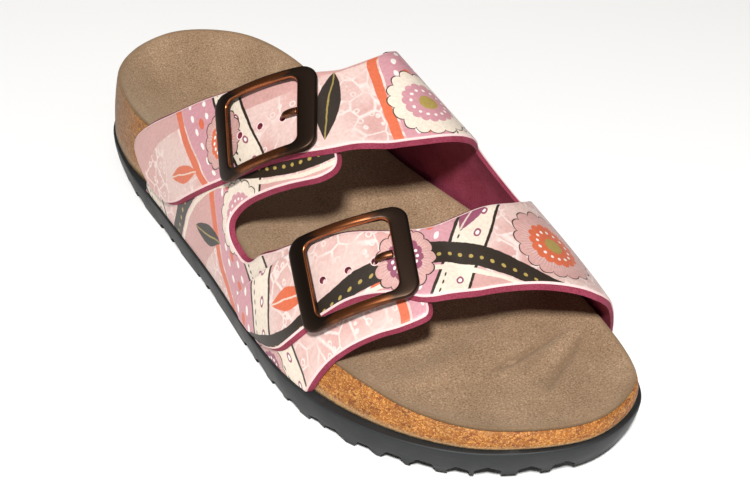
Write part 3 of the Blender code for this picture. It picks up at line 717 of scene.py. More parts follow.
def buildLining():
    outline = soleOutline(bed["points"])
    rim = insetLoop(outline, rimInset(outline))
    low, wall = last["seatGap"], last["liningWall"]
    loops, edge, paintedCreaseShade = [], [], []

    def addLoop(loop, lift, mark):
        x, station = loop[:, 0], loop[:, 1]
        depth = creaseDepth(x, station) if lift > low else np.zeros(len(loop))
        loops.append(placedLoop(loop, bedHeight(x, station) + lift + depth))
        edge.append(np.full(len(loop), mark))
        # painted shade, as strong as the crease is pressed in
        paintedCreaseShade.append(np.clip(-depth * 2.0, 0, 1))

    for share in (0.97, 0.7, 0.45, 0.25, 0.12, 0.05):
        addLoop(spineLoop(rim, share), low, 0.0)
    for turn in np.linspace(0, math.pi / 2, 5):  # skived edge, rolled down to the cork
        inset = lining["edge"] + lining["edgeRound"] * (1 - math.cos(turn))
        addLoop(insetLoop(rim, inset), low + wall * math.sin(turn), 1.0 - 0.5 * math.sin(turn))
    inside = insetLoop(rim, lining["edge"] + lining["edgeRound"])
    for share in np.linspace(0, 0.97, lining["rings"])[1:]:
        addLoop(spineLoop(inside, share), low + wall, 0.5 * math.exp(-share * lining["rimFade"]))
    layers = {"edge": np.concatenate(edge), "paintedCreaseShade": np.concatenate(paintedCreaseShade)}
    placePiece(loopBody("footbed_suede", loops, suedeMaterial(), layers), "suede", "footbed_lining")


buildLining()

# Printed leather: one hide plan that both upper pieces are cut from, in millimetres

inks = {"ground": "#d6b9b0", "blush": "#c3968f", "cream": "#dccdbb", "mauve": "#c28b92", "plum": "#8b4a60",
        "brown": "#2a2118", "coral": "#cc6543", "gold": "#a48d4c", "white": "#e9e0d8", "film": "#e3c5c1",
        "burgundy": "#7c2239", "burgundyLight": "#973b52"}

# ribbons run across the hide again and again: turn, offset, repeat, width, sway, wave, outline and ink
ribbonInputs = "Turn Offset Repeat Width Sway Wave Line"
ribbons = [
    (-0.55, 14.0, 92.0, 17.0, 7.0, 118.0, 0.0, "blush"), (1.02, 6.0, 74.0, 16.0, 5.0, 88.0, 0.0, "mauve"),
    (1.02, 19.5, 74.0, 11.0, 5.0, 88.0, 1.0, "cream"), (1.02, -4.4, 74.0, 3.2, 5.0, 88.0, 0.0, "coral"),
    (-0.55, 0.0, 92.0, 7.0, 7.0, 118.0, 0.0, "brown"), (-0.55, 5.0, 92.0, 1.6, 7.0, 118.0, 0.0, "cream"),
]
# rows of dots on a ribbon: its number, then side step, spacing, radius, stretch, shift and ink
dotInputs = "Side Spacing Radius Stretch Shift"
dotRows = [
    (1, 3.4, 5.2, 0.75, 1.7, 0.0, "white"), (1, -3.4, 5.2, 0.75, 1.7, 2.6, "white"),
    (1, 0.0, 10.4, 1.3, 1.5, 1.3, "coral"), (2, 1.6, 8.0, 1.15, 1.2, 2.0, "plum"),
    (2, 1.6, 8.0, 0.6, 1.2, 2.0, "white"), (2, -3.4, 2.6, 0.3, 2.4, 0.0, "brown"),
    (4, 0.6, 3.4, 0.6, 1.1, 0.0, "gold"),
]
# rosettes: place, turn, radius, petals and the inks of petals and ring
rosetteInputs = "X Y Turn Radius Petals"
rosettes = [
    (-57.0, 112.0, 0.2, 9.0, 12.0, "blush", "coral"), (4.0, 150.0, 0.1, 13.0, 16.0, "cream", "mauve"),
    (-30.0, 192.0, 0.5, 9.5, 13.0, "blush", "plum"), (16.0, 206.0, 0.0, 13.0, 16.0, "blush", "coral"),
    (55.0, 120.0, 0.4, 13.0, 15.0, "cream", "plum"), (62.0, 170.0, 0.8, 12.0, 14.0, "blush", "coral"),
    (190.0, 132.0, 0.3, 11.0, 14.0, "cream", "mauve"), (168.0, 172.0, 0.1, 9.0, 12.0, "blush", "plum"),
]
# leaves: place, turn, length, width and ink
leafInputs = "X Y Turn Length Width"
leaves = [
    (-24.0, 136.0, 0.9, 24.0, 7.5, "brown"), (-78.0, 98.0, 2.2, 18.0, 6.0, "coral"),
    (28.0, 138.0, 0.3, 26.0, 8.0, "plum"), (-2.0, 187.0, 0.6, 20.0, 6.5, "plum"),
    (-66.0, 172.0, 2.5, 18.0, 6.0, "coral"), (38.0, 197.0, 2.4, 20.0, 6.5, "brown"),
    (78.0, 142.0, 1.4, 22.0, 7.0, "brown"), (205.0, 112.0, 0.7, 20.0, 6.0, "coral"),
    (172.0, 117.0, 1.9, 20.0, 6.0, "brown"),
]
handDrawn = {"reach": 14.0, "sway": 2.6, "fine": 1.6, "tremble": 0.35}  # lines wander as if drawn by hand


def inkMask(distance, soft=0.18):  # 1 inside a shape, 0 outside
    return mulAdd(distance, -1 / soft, 0.5, clamp=True)


def turned(place, x, y, turn):  # place about a centre, turned
    tree = place.id_data
    centre = addNode(tree, "ShaderNodeCombineXYZ", {"X": x, "Y": y}).outputs[0]
    inputs = {"Vector": vectors("SUBTRACT", place, centre), "Angle": turn}
    return split(addNode(tree, "ShaderNodeVectorRotate", inputs, rotation_type="Z_AXIS").outputs[0])


def wrapped(value, length):  # value that starts again after each length
    half = mul(length, 0.5)
    return calc("WRAP", value, half, mul(half, -1.0))


def farAway(x, y):  # straight distance
    return calc("SQRT", add(mul(x, x), mul(y, y)))


def makeRibbon():
    tree, given, out = newGroup("ribbon", "Fill Line Along Across", Place=None, Turn=0.0, Offset=0.0,
                                Repeat=60.0, Width=10.0, Sway=4.0, Wave=60.0, Line=0.5)
    spot = turned(given["Place"], 0.0, 0.0, given["Turn"])
    wave = calc("SINE", mul(div(spot["X"], given["Wave"]), 2 * math.pi))
    across = wrapped(sub(sub(spot["Y"], given["Offset"]), mul(wave, given["Sway"])), given["Repeat"])
    gap = sub(absolute(across), mul(given["Width"], 0.5))
    line = inkMask(sub(absolute(gap), mul(given["Line"], 0.5)))
    plug(out["Fill"], inkMask(gap))
    plug(out["Line"], mul(line, calc("GREATER_THAN", given["Line"], 0.01)))
    plug(out["Along"], spot["X"])
    plug(out["Across"], across)
    return tree


def makeDots():
    tree, given, out = newGroup("dotRow", "Fill", Along=0.0, Across=0.0, Side=0.0, Spacing=8.0, Radius=1.0,
                                Stretch=1.0, Shift=0.0)
    cell = div(wrapped(add(given["Along"], given["Shift"]), given["Spacing"]), given["Stretch"])
    reach = farAway(cell, sub(given["Across"], given["Side"]))
    plug(out["Fill"], inkMask(sub(reach, given["Radius"])))
    return tree


def makeLeaf():
    tree, given, out = newGroup("leaf", "Fill Vein", Place=None, X=0.0, Y=0.0, Turn=0.0,
                                Length=16.0, Width=6.0)
    spot = turned(given["Place"], given["X"], given["Y"], given["Turn"])
    t = div(mul(spot["X"], 2.0), given["Length"])
    halfWidth = mul(mul(sub(1.0, mul(t, t)), given["Width"]), 0.5)
    away = absolute(spot["Y"])
    fill = inkMask(sub(away, halfWidth))
    plug(out["Fill"], fill)
    plug(out["Vein"], mul(inkMask(sub(away, 0.25)), fill))
    return tree


def makeRosette(beadCount=14.0):
    tree, given, out = newGroup("rosette", "Fill Line Inner Heart Beads Rays", Place=None, X=0.0, Y=0.0,
                                Turn=0.0, Radius=10.0, Petals=6.0)
    spot = turned(given["Place"], given["X"], given["Y"], given["Turn"])
    radius, petals = given["Radius"], given["Petals"]
    reach = farAway(spot["X"], spot["Y"])
    angle = calc("ARCTAN2", spot["Y"], spot["X"])
    lobe = absolute(calc("COSINE", mul(mul(angle, petals), 0.5)))
    petal = mul(radius, mulAdd(calc("POWER", lobe, 0.6), 0.13, 0.87))
    gap = sub(reach, petal)
    plug(out["Fill"], inkMask(gap))
    plug(out["Line"], inkMask(sub(absolute(gap), 0.2)))
    plug(out["Inner"], inkMask(sub(reach, mul(petal, 0.62))))
    plug(out["Heart"], inkMask(sub(reach, mul(radius, 0.22))))
    ringAt = mul(radius, 0.4)
    spacing = div(mul(ringAt, 2 * math.pi), beadCount)
    beads = useGroup(dotRow, Along=mul(angle, ringAt), Across=sub(reach, ringAt), Spacing=spacing, Radius=0.5)
    plug(out["Beads"], beads["Fill"])
    rays = calc("SINE", mul(angle, mul(petals, 4.0)))
    fade = sub(1.0, ramp(div(reach, radius), 0.5, 1.0))
    plug(out["Rays"], mul(ramp(rays, 0.75, 0.95), fade))
    return tree


ribbon, dotRow, leaf = makeRibbon(), makeDots(), makeLeaf()
rosette = makeRosette()


def wander(place, reach, sway):  # place pushed about by soft noise
    push = vectors("SUBTRACT", noise(place, 1 / reach, 1.0)["Color"], (0.5, 0.5, 0.5))
    return vectors("MULTIPLY_ADD", push, (sway, sway, 0.0), place)


def laceGround(place, soft):  # mottled ground with pale rings and cell lines
    colour = blend(ramp(soft["Patches"], -0.14, 0.2), srgb(inks["ground"]), srgb(inks["blush"]))
    edges = cells(place, 0.15, "DISTANCE_TO_EDGE", Randomness=0.8)["Distance"]
    vein = sub(1.0, ramp(edges, 0.01, 0.07))
    rings = cells(place, 0.3, Randomness=0.6)["Distance"]
    ring = sub(1.0, ramp(absolute(sub(rings, 0.26)), 0.03, 0.09))
    lace = mul(calc("MAXIMUM", vein, ring), ramp(soft["Patches"], -0.1, 0.05))
    return over(colour, inks["white"], lace, 0.6)


def drawn(group, names, row, **given):  # a motif with the inputs from its row of the plan
    return useGroup(group, **given, **dict(zip(names.split(), row)))


def hidePrint(plan):
    place = wander(plan, handDrawn["reach"], handDrawn["sway"])
    place = wander(place, handDrawn["fine"], handDrawn["tremble"])
    soft = useGroup(mottle, Place=place, Patch=22.0, Speck=1.1)
    colour = laceGround(place, soft)
    for number, row in enumerate(ribbons):
        band = drawn(ribbon, ribbonInputs, row, Place=place)
        colour = over(colour, inks[row[-1]], band["Fill"])
        if row[-2]:  # the ribbon has an outline
            colour = over(colour, inks["brown"], band["Line"])
        for onRibbon, *dots in dotRows:
            if onRibbon == number:
                drops = drawn(dotRow, dotInputs, dots, Along=band["Along"], Across=band["Across"])
                colour = over(colour, inks[dots[-1]], mul(drops["Fill"], band["Fill"]))
    for row in leaves:
        shape = drawn(leaf, leafInputs, row, Place=place)
        colour = over(colour, inks[row[-1]], shape["Fill"])
        colour = over(colour, inks["gold" if row[-1] == "brown" else "cream"], shape["Vein"], 0.8)
    for row in rosettes:
        shape = drawn(rosette, rosetteInputs, row, Place=place)
        colour = over(colour, inks[row[-2]], shape["Fill"])
        colour = over(colour, inks["white"], shape["Rays"], 0.6)
        for mask, ink in (("Inner", row[-1]), ("Line", "brown"), ("Beads", "white"), ("Heart", "gold")):
            colour = over(colour, inks[ink], shape[mask])
    return toned(colour, mulAdd(soft["Specks"], 0.4, mulAdd(soft["Patches"], 0.3, 1.0)))


def leatherMaterial():
    material, tree, sockets = newMaterial("printedLeather", Coat_Roughness=0.3, Specular_IOR_Level=0.45)
    uv = addNode(tree, "ShaderNodeUVMap", uv_map="hide").outputs[0]
    plan = vectors("SCALE", uv, Scale=cut["hideStep"])
    place = objectPlace(tree)
    layer = attribute(tree, "layer")
    face, film = calc("GREATER_THAN", layer, 0.9), calc("GREATER_THAN", layer, 0.5)
    spots = useGroup(mottle, Place=place, Patch=10.0, Speck=0.4)
    nap = useGroup(fibre, Place=place, Length=0.8)["Height"]
    tone = ramp(mulAdd(spots["Specks"], 1.3, spots["Patches"]), -0.3, 0.35)
    dyed = blend(tone, srgb(inks["burgundy"]), srgb(inks["burgundyLight"]))
    plug(sockets["Base Color"], blend(face, over(dyed, inks["film"], film), hidePrint(plan)))
    plug(sockets["Roughness"], blend(face, 0.88, mulAdd(spots["Patches"], 0.3, 0.45), "FLOAT"))
    plug(sockets["Coat Weight"], mul(face, 0.18))
    pores = cells(place, 1.5, "SMOOTH_F1")["Distance"]
    grain = mulAdd(pores, 0.25, mul(spots["Specks"], 0.2))
    addBump(sockets, blend(face, nap, grain, "FLOAT"), 0.5, 0.25)
    return material



# Straps and quarter: open sheets on the last that get a wall, a pale film edge and a dyed cut edge

cut = {"film": 0.55, "filmRound": 0.22, "slant": 1.4, "fade": 4.5, "footTop": 13.6, "merge": 0.02,
       "creaseDeg": 48.0, "under": -0.06, "hideStep": 100.0, "quarterShift": 260.0,
       "arcFrom": 50.0, "arcTo": 232.0, "arcStep": 2.0, "arcGirths": 200}
leather = leatherMaterial()


def arcTable():  # arc from the crest, by station and girth
    stations = np.arange(cut["arcFrom"], cut["arcTo"], cut["arcStep"])
    grid = lastPoint(np.linspace(0, 1, cut["arcGirths"] + 1)[None, :], stations[:, None])
    steps = np.linalg.norm(np.diff(grid, axis=1), axis=2)
    arc = np.concatenate([np.zeros((len(stations), 1)), np.cumsum(steps, axis=1)], axis=1)
    return arc - arc[:, [cut["arcGirths"] // 2]]


arcs = arcTable()


def hidePlace(girth, station):  # where a point lies on the flat hide: arc from the crest, station
    i = np.clip((station - cut["arcFrom"]) / cut["arcStep"], 0, len(arcs) - 1.001)
    j = np.clip(girth * cut["arcGirths"], 0, cut["arcGirths"] - 0.001)
    a, b = i.astype(int), j.astype(int)
    s, t = i - a, j - b
    arc = (arcs[a, b] * (1 - s) * (1 - t) + arcs[a + 1, b] * s * (1 - t)
           + arcs[a, b + 1] * (1 - s) * t + arcs[a + 1, b + 1] * s * t)
    return np.stack([arc, station], -1)


def addStrip(sheet, girths, low, high, columns, lift, shift=0.0):  # quads with their place on the hide
    uvLayer = sheet.loops.layers.uv.verify()
    stations = low[:, None] + (high - low)[:, None] * np.linspace(0, 1, columns)
    girths = np.repeat(girths[:, None], columns, 1)
    points = toWorld(upperPoint(girths, stations, lift(girths)))
    places = (hidePlace(girths, stations) + np.array([shift, 0.0])) / cut["hideStep"]
    verts = [[sheet.verts.new(point) for point in row] for row in points]
    for r in range(len(girths) - 1):
        for c in range(columns - 1):
            corners = [(r, c), (r, c + 1), (r + 1, c + 1), (r + 1, c)]
            face = sheet.faces.new([verts[i][j] for i, j in corners])
            for loop, (i, j) in zip(face.loops, corners):
                loop[uvLayer].uv = places[i, j]


def wallSheet(name, sheet, material):  # an open sheet gets inside, cut edge, film edge and printed face
    uvLayer = sheet.loops.layers.uv.verify()
    bmesh.ops.remove_doubles(sheet, verts=sheet.verts, dist=cut["merge"] * mm)
    bmesh.ops.recalc_face_normals(sheet, faces=sheet.faces)
    under = Vector((0, 0, cut["under"]))  # a point that the printed face looks away from
    if sum(face.normal.dot(face.calc_center_median() - under) for face in sheet.faces) < 0:
        bmesh.ops.reverse_faces(sheet, faces=sheet.faces)
    sheet.normal_update()
    sheet.verts.index_update()
    outward = {}
    for edge in sheet.edges:
        if edge.is_boundary:
            face = edge.link_faces[0]
            a, b = edge.verts
            side = (b.co - a.co).cross(face.normal).normalized()
            if side.dot(face.calc_center_median() - a.co) > 0:
                side = -side
            for vert in edge.verts:
                outward[vert.index] = outward.get(vert.index, Vector()) + side
    free = KDTree(len(outward))
    sheet.verts.ensure_lookup_table()
    for index in outward:
        if sheet.verts[index].co.z > cut["footTop"] * mm:
            free.insert(sheet.verts[index].co, index)
    free.balance()

    def inWall(v, height):  # a place in the wall, whose cut edges slope in towards the printed face
        _, index, gap = free.find(v.co)
        fade = max(0.0, 1 - gap / (cut["fade"] * mm))
        slope = cut["slant"] * (0.5 - height / last["wall"]) * fade
        return v.co + v.normal * (height * mm) + outward[index].normalized() * (slope * mm)

    bm = bmesh.new()
    uvOut = bm.loops.layers.uv.new("hide")
    layerOut = bm.faces.layers.float.new("layer")
    inside = [bm.verts.new(inWall(v, 0.0)) for v in sheet.verts]
    printed, filmLow, filmHigh = {}, {}, {}
    for v in sheet.verts:
        top = inWall(v, last["wall"])
        if v.index in outward:
            filmLow[v.index] = bm.verts.new(inWall(v, last["wall"] - cut["film"]))
            filmHigh[v.index] = bm.verts.new(inWall(v, last["wall"] - cut["filmRound"]))
            top = top - outward[v.index].normalized() * cut["filmRound"] * mm
        printed[v.index] = bm.verts.new(top)

    def addFace(verts, uvs, layer):
        made = bm.faces.new(verts)
        made[layerOut] = layer
        made.smooth = True
        for loop, uv in zip(made.loops, uvs):
            loop[uvOut].uv = uv

    rows = [inside, filmLow, filmHigh, printed]
    for face in sheet.faces:
        uvs = [loop[uvLayer].uv.copy() for loop in face.loops]
        addFace([printed[v.index] for v in face.verts], uvs, hideLayer["face"])
        addFace([inside[v.index] for v in reversed(face.verts)], uvs[::-1], hideLayer["inside"])
        for loop in face.loops:
            if loop.edge.is_boundary:
                a, b = loop.vert.index, loop.link_loop_next.vert.index
                ends = [loop[uvLayer].uv.copy(), loop.link_loop_next[uvLayer].uv.copy()]
                for low, high, layer in zip(rows, rows[1:], ("edge", "film", "film")):
                    addFace([low[a], low[b], high[b], high[a]], ends + ends[::-1], hideLayer[layer])
    sheet.free()
    piece = linkSolid(name, bm, material)
    piece.data.set_sharp_from_angle(angle=math.radians(cut["creaseDeg"]))
    return piece


strap = {"columns": 20, "partGirth": 0.735, "joinGirth": 0.815, "joinStation": 175.0, "rearJoinPower": 1.25,
         "endGirth": 0.08, "clearGirth": 0.012, "easeGirth": 0.075,
         "endRows": 16, "runRows": 120, "joinRows": 16, "footRows": 24}

# girth, rear edge, front edge
rearStrap = [(0.030, 74.0, 82.0), (0.036, 68.5, 87.0), (0.045, 63.5, 91.0), (0.060, 59.5, 96.0),
             (0.080, 60.5, 101.0), (0.113, 68.0, 109.0), (0.163, 81.5, 120.5), (0.212, 93.0, 129.5),
             (0.260, 103.5, 137.5), (0.320, 115.0, 147.5), (0.370, 122.5, 153.5), (0.420, 127.0, 158.5),
             (0.500, 128.3, 163.0), (0.600, 125.0, 163.4), (0.700, 114.5, 160.5), (0.735, 109.5, 158.8),
             (0.770, 104.0, 158.5), (0.850, 92.5, 158.5), (1.000, 77.0, 158.5)]
frontStrap = [(0.018, 151.0, 158.0), (0.026, 148.0, 166.0), (0.036, 147.0, 171.0), (0.054, 147.3, 175.5),
              (0.080, 150.0, 178.5), (0.121, 155.0, 182.0), (0.175, 161.0, 186.2), (0.215, 165.0, 189.2),
              (0.250, 169.0, 193.2), (0.285, 173.5, 199.0), (0.310, 177.3, 204.8), (0.350, 183.4, 209.0),
              (0.410, 187.5, 212.8), (0.500, 188.5, 217.6), (0.600, 189.0, 221.5), (0.700, 185.5, 223.5),
              (0.735, 182.5, 223.4), (0.770, 181.0, 223.0), (0.850, 180.0, 220.5), (1.000, 180.0, 218.0)]
strapEdges = {"rear": tableCurves(("girth", "rear", "front"), rearStrap),
              "front": tableCurves(("girth", "rear", "front"), frontStrap)}
strapStart = {"rear": rearStrap[0][0], "front": frontStrap[0][0]}
tabEnd = {"rear": 0.340, "front": 0.318}


def strapLift(side, girth):  # a strap lies over its tab, then comes down to the foot
    t = ease((girth - tabEnd[side] - strap["clearGirth"]) / strap["easeGirth"])
    return (last["wall"] + last["seatGap"]) * (1 - t)


def strapStations(side, girth):
    rear, front = strapEdges[side]["rear"](girth), strapEdges[side]["front"](girth)
    progress = (girth - strap["partGirth"]) / (strap["joinGirth"] - strap["partGirth"])
    join = strap["joinStation"]
    if side == "rear":
        front = join + (front - join) * roundOff(progress, strap["rearJoinPower"])
    else:
        rear = join + (rear - join) * roundOff(progress)
    return rear, front


def buildStraps():
    sheet = bmesh.new()
    sheet.loops.layers.uv.new("hide")
    part, end = strap["partGirth"], strap["endGirth"]
    shared = np.concatenate([easedTo(part, strap["joinGirth"], strap["joinRows"])[1:],
                             np.linspace(strap["joinGirth"], 1.0, strap["footRows"])[1:]])
    for side in ("rear", "front"):
        girths = np.concatenate([easedFrom(strapStart[side], end, strap["endRows"]),
                                 np.linspace(end, part, strap["runRows"])[1:], shared])
        addStrip(sheet, girths, *strapStations(side, girths), strap["columns"], partial(strapLift, side))
    return wallSheet("straps_leather", sheet, leather)


quarter = {"columns": 22, "slotFloor": 0.098, "slotRound": 0.128, "slotStation": 137.0, "tabRound": 0.030,
           "tabTip": 0.35, "footRows": 16, "cornerRows": 16, "riseRows": 44, "tipRows": 14}

# girth, rear edge, slot rear, slot front, front edge
quarterRows = [(0.000, 65.0, 127.5, 146.5, 188.5), (0.050, 67.0, 127.5, 146.5, 191.0),
               (0.100, 74.0, 127.5, 146.5, 193.5), (0.130, 81.0, 128.5, 148.5, 195.5),
               (0.163, 89.0, 132.0, 154.5, 198.0), (0.208, 99.0, 139.0, 161.5, 202.0),
               (0.242, 107.0, 144.5, 169.0, 205.5), (0.287, 116.0, 151.5, 179.0, 208.5),
               (0.310, 121.0, 153.5, 182.5, 208.5), (0.340, 128.0, 154.5, 186.0, 208.5)]
quarterEdges = tableCurves(("girth", "rear", "slotRear", "slotFront", "front"), quarterRows)


def quarterStations(side, girth):
    opening = roundOff((quarter["slotRound"] - girth) / (quarter["slotRound"] - quarter["slotFloor"]))
    middle = quarter["slotStation"]
    if side == "rear":
        low = quarterEdges["rear"](girth)
        high = middle + (quarterEdges["slotRear"](girth) - middle) * opening
    else:
        low = middle + (quarterEdges["slotFront"](girth) - middle) * opening
        high = quarterEdges["front"](girth)
    tip = roundOff((girth - tabEnd[side] + quarter["tabRound"]) / quarter["tabRound"])
    narrow = quarter["tabTip"] + (1 - quarter["tabTip"]) * tip
    centre = (low + high) / 2
    return centre + (low - centre) * narrow, centre + (high - centre) * narrow


def buildQuarter():
    sheet = bmesh.new()
    sheet.loops.layers.uv.new("hide")
    floor, rounded = quarter["slotFloor"], quarter["slotRound"]
    for side in ("rear", "front"):
        end = tabEnd[side]
        girths = np.concatenate([np.linspace(0, floor, quarter["footRows"]),
                                 easedFrom(floor, rounded, quarter["cornerRows"])[1:],
                                 np.linspace(rounded, end - quarter["tabRound"], quarter["riseRows"])[1:],
                                 easedTo(end - quarter["tabRound"], end, quarter["tipRows"])[1:]])
        low, high = quarterStations(side, girths)
        addStrip(sheet, girths, low, high, quarter["columns"], np.zeros_like, cut["quarterShift"])
    return wallSheet("quarter_leather", sheet, leather)


# Buckles

# the copper shown on the round bars is wear all over plus a painted highlight along their crest
buckle = {"along": 34.6, "across": 29.4, "crossBar": 5.3, "sideBar": 3.1, "thick": 2.6, "bow": 1.3,
          "corner": 4.6, "windowCorner": 2.5, "roundBar": 2.3, "flatBar": 5.5,
          "innerRub": 0.9, "outerRub": 0.45, "sideWearAndHighlight": 0.5, "crestWearAndHighlight": 0.42,
          "cornerSteps": 14, "sideSteps": 26, "sectionSteps": 20, "solveSteps": 8,
          "pinWidth": 2.4, "pinLength": 5.4, "pinThick": 1.5, "pinSteps": 16, "pinRub": 0.55,
          "dark": "#382b23", "copper": "#a9653f"}
# girth under the middle, shift along and across the strap, turn
bucklePlaces = {"rear": (0.270, 1.4, 2.0, -7.5), "front": (0.250, 2.8, 1.4, -8.0)}


def copperMaterial():
    material, tree, sockets = newMaterial("antiqueCopper", Metallic=1.0)
    spots = useGroup(mottle, Place=objectPlace(tree), Patch=3.0, Speck=0.35)
    # the copper mask is real wear at the edges, plus a painted highlight along the crest of the round bars
    wornAndHighlit = ramp(mulAdd(spots["Patches"], 0.35, attribute(tree, "wearAndHighlight")), 0.35, 0.85)
    plug(sockets["Base Color"], blend(wornAndHighlit, srgb(buckle["dark"]), srgb(buckle["copper"])))
    plug(sockets["Roughness"], blend(wornAndHighlit, 0.42, 0.26, "FLOAT"))
    addBump(sockets, spots["Specks"], 0.12, 0.1)
    return material


copper = copperMaterial()


def roundedBox(length, width, radius):
    corners = []
    for corner, (sx, sy) in enumerate([(1, 1), (-1, 1), (-1, -1), (1, -1)]):
        turn = math.pi / 2 * (corner + np.linspace(0, 1, buckle["cornerSteps"]))
        corners.append(np.stack([sx * (length / 2 - radius) + radius * np.cos(turn),
                                 sy * (width / 2 - radius) + radius * np.sin(turn)], 1))
    parts = []
    shares = (np.arange(buckle["sideSteps"]) + 1)[:, None] / (buckle["sideSteps"] + 1)
    for i, corner in enumerate(corners):
        following = corners[(i + 1) % 4][0]
        parts += [corner, corner[-1] + (following - corner[-1]) * shares]
    return np.vstack(parts)


def strapFrame(side):  # middle of the buckle on the last, and directions along and across the strap
    girth, step = bucklePlaces[side][0], last["girthStep"]

    def middle(g):
        return (strapEdges[side]["rear"](g) + strapEdges[side]["front"](g)) / 2

    station = middle(girth)
    origin = lastPoint(girth, station)
    along = lastPoint(girth + step, middle(girth + step)) - lastPoint(girth - step, middle(girth - step))
    along /= np.linalg.norm(along)
    forward = lastPoint(girth, station + last["stationStep"]) - origin
    across = forward - along * forward.dot(along)
    return station, origin, along, across / np.linalg.norm(across)


def onStrap(side, u, v):  # girth and station of millimetres along and across the strap
    girth0, shiftAlong, shiftAcross, turn = bucklePlaces[side]
    station0, origin, along, across = strapFrame(side)
    step, stride = last["girthStep"], last["stationStep"]
    c, s = math.cos(math.radians(turn)), math.sin(math.radians(turn))
    u, v = np.asarray(u, float), np.asarray(v, float)
    want = origin + (c * u - s * v + shiftAlong)[..., None] * along
    want = want + (s * u + c * v + shiftAcross)[..., None] * across
    girth, station = np.full(u.shape, girth0), np.full(u.shape, float(station0))
    for _ in range(buckle["solveSteps"]):
        here = lastPoint(girth, station)
        left = want - here
        byGirth = (lastPoint(girth + step, station) - here) / step
        byStation = (lastPoint(girth, station + stride) - here) / stride
        a, b, c2, d = byGirth @ along, byStation @ along, byGirth @ across, byStation @ across
        p, q = left @ along, left @ across
        girth = girth + (p * d - b * q) / (a * d - b * c2)
        station = station + (a * q - c2 * p) / (a * d - b * c2)
    return girth, station


def onUpper(side, u, v, lift):  # world place over the strap
    return toWorld(upperPoint(*onStrap(side, u, v), lift))


buckleFoot = 2 * (last["wall"] + last["seatGap"])  # over quarter and strap


def buildBuckle(side):
    length, width = buckle["along"], buckle["across"]
    outer = roundedBox(length, width, buckle["corner"])
    openLength, openWidth = length - 2 * buckle["crossBar"], width - 2 * buckle["sideBar"]
    window = roundedBox(openLength, openWidth, buckle["windowCorner"])
    bar = np.linalg.norm(outer - window, axis=1)
    flat = ease((bar - buckle["sideBar"]) / (buckle["crossBar"] - buckle["sideBar"]))  # 1 on the cross bars
    power = buckle["roundBar"] + (buckle["flatBar"] - buckle["roundBar"]) * flat
    loops, wearAndHighlightRows = [], []
    for k in range(buckle["sectionSteps"]):
        turn = 2 * math.pi * k / buckle["sectionSteps"]
        c, s = math.cos(turn), math.sin(turn)
        inward = np.sign(c) * np.abs(c) ** (2 / power)
        up = np.sign(s) * np.abs(s) ** (2 / power)
        spot = outer + (window - outer) * (0.5 + 0.5 * inward)[:, None]
        bow = buckle["bow"] * (1 - (2 * spot[:, 0] / length) ** 2)  # side bars arch over the strap
        lift = buckleFoot + bow + buckle["thick"] * (0.5 + 0.5 * up)
        loops.append(onUpper(side, spot[:, 0], spot[:, 1], lift))
        innerEdge = buckle["innerRub"] * ease((inward - 0.72) / 0.25) * ease((up + 0.2) / 0.5)
        outerEdge = buckle["outerRub"] * ease((-inward - 0.85) / 0.15) * ease((up + 0.2) / 0.5)
        # painted highlight: copper raised along the crest of the round bars where light would glint, on top
        # of real wear
        top = hump(inward - 0.1, 0.6) * ease((up + 0.1) / 0.6)
        sideWearAndHighlight = buckle["sideWearAndHighlight"] + buckle["crestWearAndHighlight"] * top  # side bars are worn all over, and brighter along the crest as a painted highlight
        wearAndHighlightRows.append(np.clip(np.maximum(innerEdge, flat * outerEdge + (1 - flat) * sideWearAndHighlight), 0, 1))
    faces = ringFaces(len(loops), len(outer), closed=True)
    piece = meshPiece("buckle_" + side, np.vstack(loops), faces, copper, {"wearAndHighlight": np.concatenate(wearAndHighlightRows)})
    faceOut(piece)
    placePiece(piece, "antique_copper", "buckle_frame_" + side)


def buildPin(side):
    root = buckle["along"] / 2 - buckle["crossBar"] - last["seatGap"]
    rise = smoothCurve((0.0, 0.35, 0.75, 1.0), (0.9, 1.1, 0.7, -0.1))
    thickness = smoothCurve((0.0, 0.6, 0.9, 1.0), (1.0, 0.95, 0.75, 0.4))
    steps = buckle["pinSteps"]
    turn = np.linspace(0, 2 * math.pi, steps, endpoint=False)
    loops = []
    for share in np.linspace(0, 1, steps):
        thick = thickness(share)
        u = np.full(steps, root - share * buckle["pinLength"])
        v = buckle["pinWidth"] / 2 * thick * np.cos(turn)
        lift = buckleFoot + rise(share) + buckle["pinThick"] * (0.5 + 0.5 * thick * np.sin(turn))
        loops.append(onUpper(side, u, v, lift))
    piece = loopBody("prong_" + side, loops, copper, {"wearAndHighlight": np.full(steps * steps, buckle["pinRub"])})
    placePiece(piece, "antique_copper", "buckle_pin_" + side)


holes = {"spots": (6.2, -1.8, -9.8), "radius": 1.15, "depth": 3.6, "sides": 20, "rimRadius": 1.3,
         "rimThick": 0.2}


def holePoints(name, side, lift):  # punched holes in line with the prong, at a height over the last
    u = np.array(holes["spots"])
    at, out = (onUpper(side, u, np.zeros(len(u)), height) for height in (lift, lift + 1.0))
    return pointCloud(name + side, at, out - at)


def strapHoles(side):
    cloud = holePoints("holes_", side, last["wall"] * 1.5 + last["seatGap"])
    tree = makeCutterTree("strapPunch", leather, holes["sides"])
    return runTree(cloud, tree, Radius=holes["radius"] * mm, Depth=holes["depth"] * mm)


def buildRims(side):
    cloud = holePoints("hole_rims_", side, last["wall"] * 2 + last["seatGap"] - 0.5 * holes["rimThick"])
    tree = makeRimTree("holeRims", leather, holes["sides"])
    piece = runTree(cloud, tree, Radius=holes["rimRadius"] * mm, Thick=holes["rimThick"] * mm)
    piece.data.shade_smooth()
    placePiece(piece, "strap_leather")


straps = buildStraps()
for side in ("rear", "front"):
    cutWith(straps, strapHoles(side))
placePiece(straps, "strap_leather", "upper_straps")
placePiece(buildQuarter(), "strap_leather", "upper_quarter")
for side in ("rear", "front"):
    buildRims(side)
    buildBuckle(side)
    buildPin(side)

# Floor, light and camera

stage = {"floor": "#fbfaf8", "reach": 4.0}


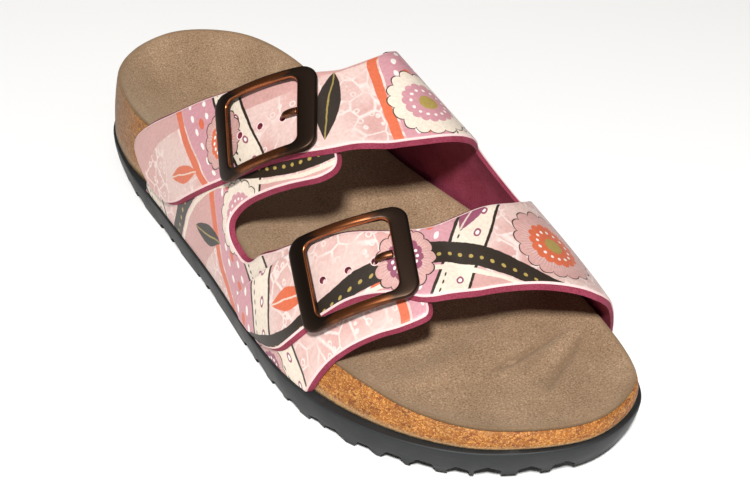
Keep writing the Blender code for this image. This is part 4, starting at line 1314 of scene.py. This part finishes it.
def buildFloor():
    material, tree, sockets = newMaterial("paleFloor", Roughness=0.8)
    spots = useGroup(mottle, Place=objectPlace(tree), Patch=300.0, Speck=40.0)
    plug(sockets["Base Color"], toned(srgb(stage["floor"]), mulAdd(spots["Patches"], 0.02, 1.0)))
    r = stage["reach"]
    floor = meshPiece("floor", [(-r, -r, 0), (r, -r, 0), (r, r, 0), (-r, r, 0)], [(0, 1, 2, 3)], material)


lamps = [
    {"name": "key", "at": (-0.6, -0.8, 1.16), "to": (0.0, -0.02, 0.03), "size": 0.14, "power": 31.0},
    {"name": "fill", "at": (0.9, -0.9, 0.8), "to": (0.0, 0.0, 0.03), "size": 1.2, "power": 0.9},
    {"name": "top", "at": (0.1, 0.5, 1.5), "to": (0.0, 0.0, 0.0), "size": 1.2, "power": 1.5},
]
sky = {"colour": (1.0, 0.99, 0.98, 1.0), "strength": 0.12}


def aimed(spot):  # turn that looks from one place to another
    return (Vector(spot["to"]) - Vector(spot["at"])).to_track_quat("-Z", "Y")


def buildLights():
    for lamp in lamps:
        data = bpy.data.lights.new(lamp["name"], "AREA")
        data.size = lamp["size"]
        data.energy = lamp["power"]
        light = bpy.data.objects.new(lamp["name"], data)
        light.location = lamp["at"]
        light.rotation_euler = aimed(lamp).to_euler()
        scene.collection.objects.link(light)
    world = bpy.data.worlds.new("studio")
    world.use_nodes = True
    background = world.node_tree.nodes["Background"].inputs
    background["Color"].default_value = sky["colour"]
    background["Strength"].default_value = sky["strength"]
    scene.world = world
    scene.view_settings.view_transform = "Standard"


view = {"at": (-0.2494, -0.3846, 0.3445), "to": (-0.002, -0.030, 0.030), "rollDeg": 2.6, "lens": 79.0}


def buildCamera():
    data = bpy.data.cameras.new("camera")
    data.lens = view["lens"]
    data.sensor_width = 36.0
    data.clip_start = 0.01
    camera = bpy.data.objects.new("camera", data)
    camera.location = view["at"]
    roll = Matrix.Rotation(math.radians(view["rollDeg"]), 3, "Z")
    camera.rotation_euler = (aimed(view).to_matrix() @ roll).to_euler()
    scene.collection.objects.link(camera)
    scene.camera = camera


buildFloor()
buildLights()
buildCamera()
print("stage ready")
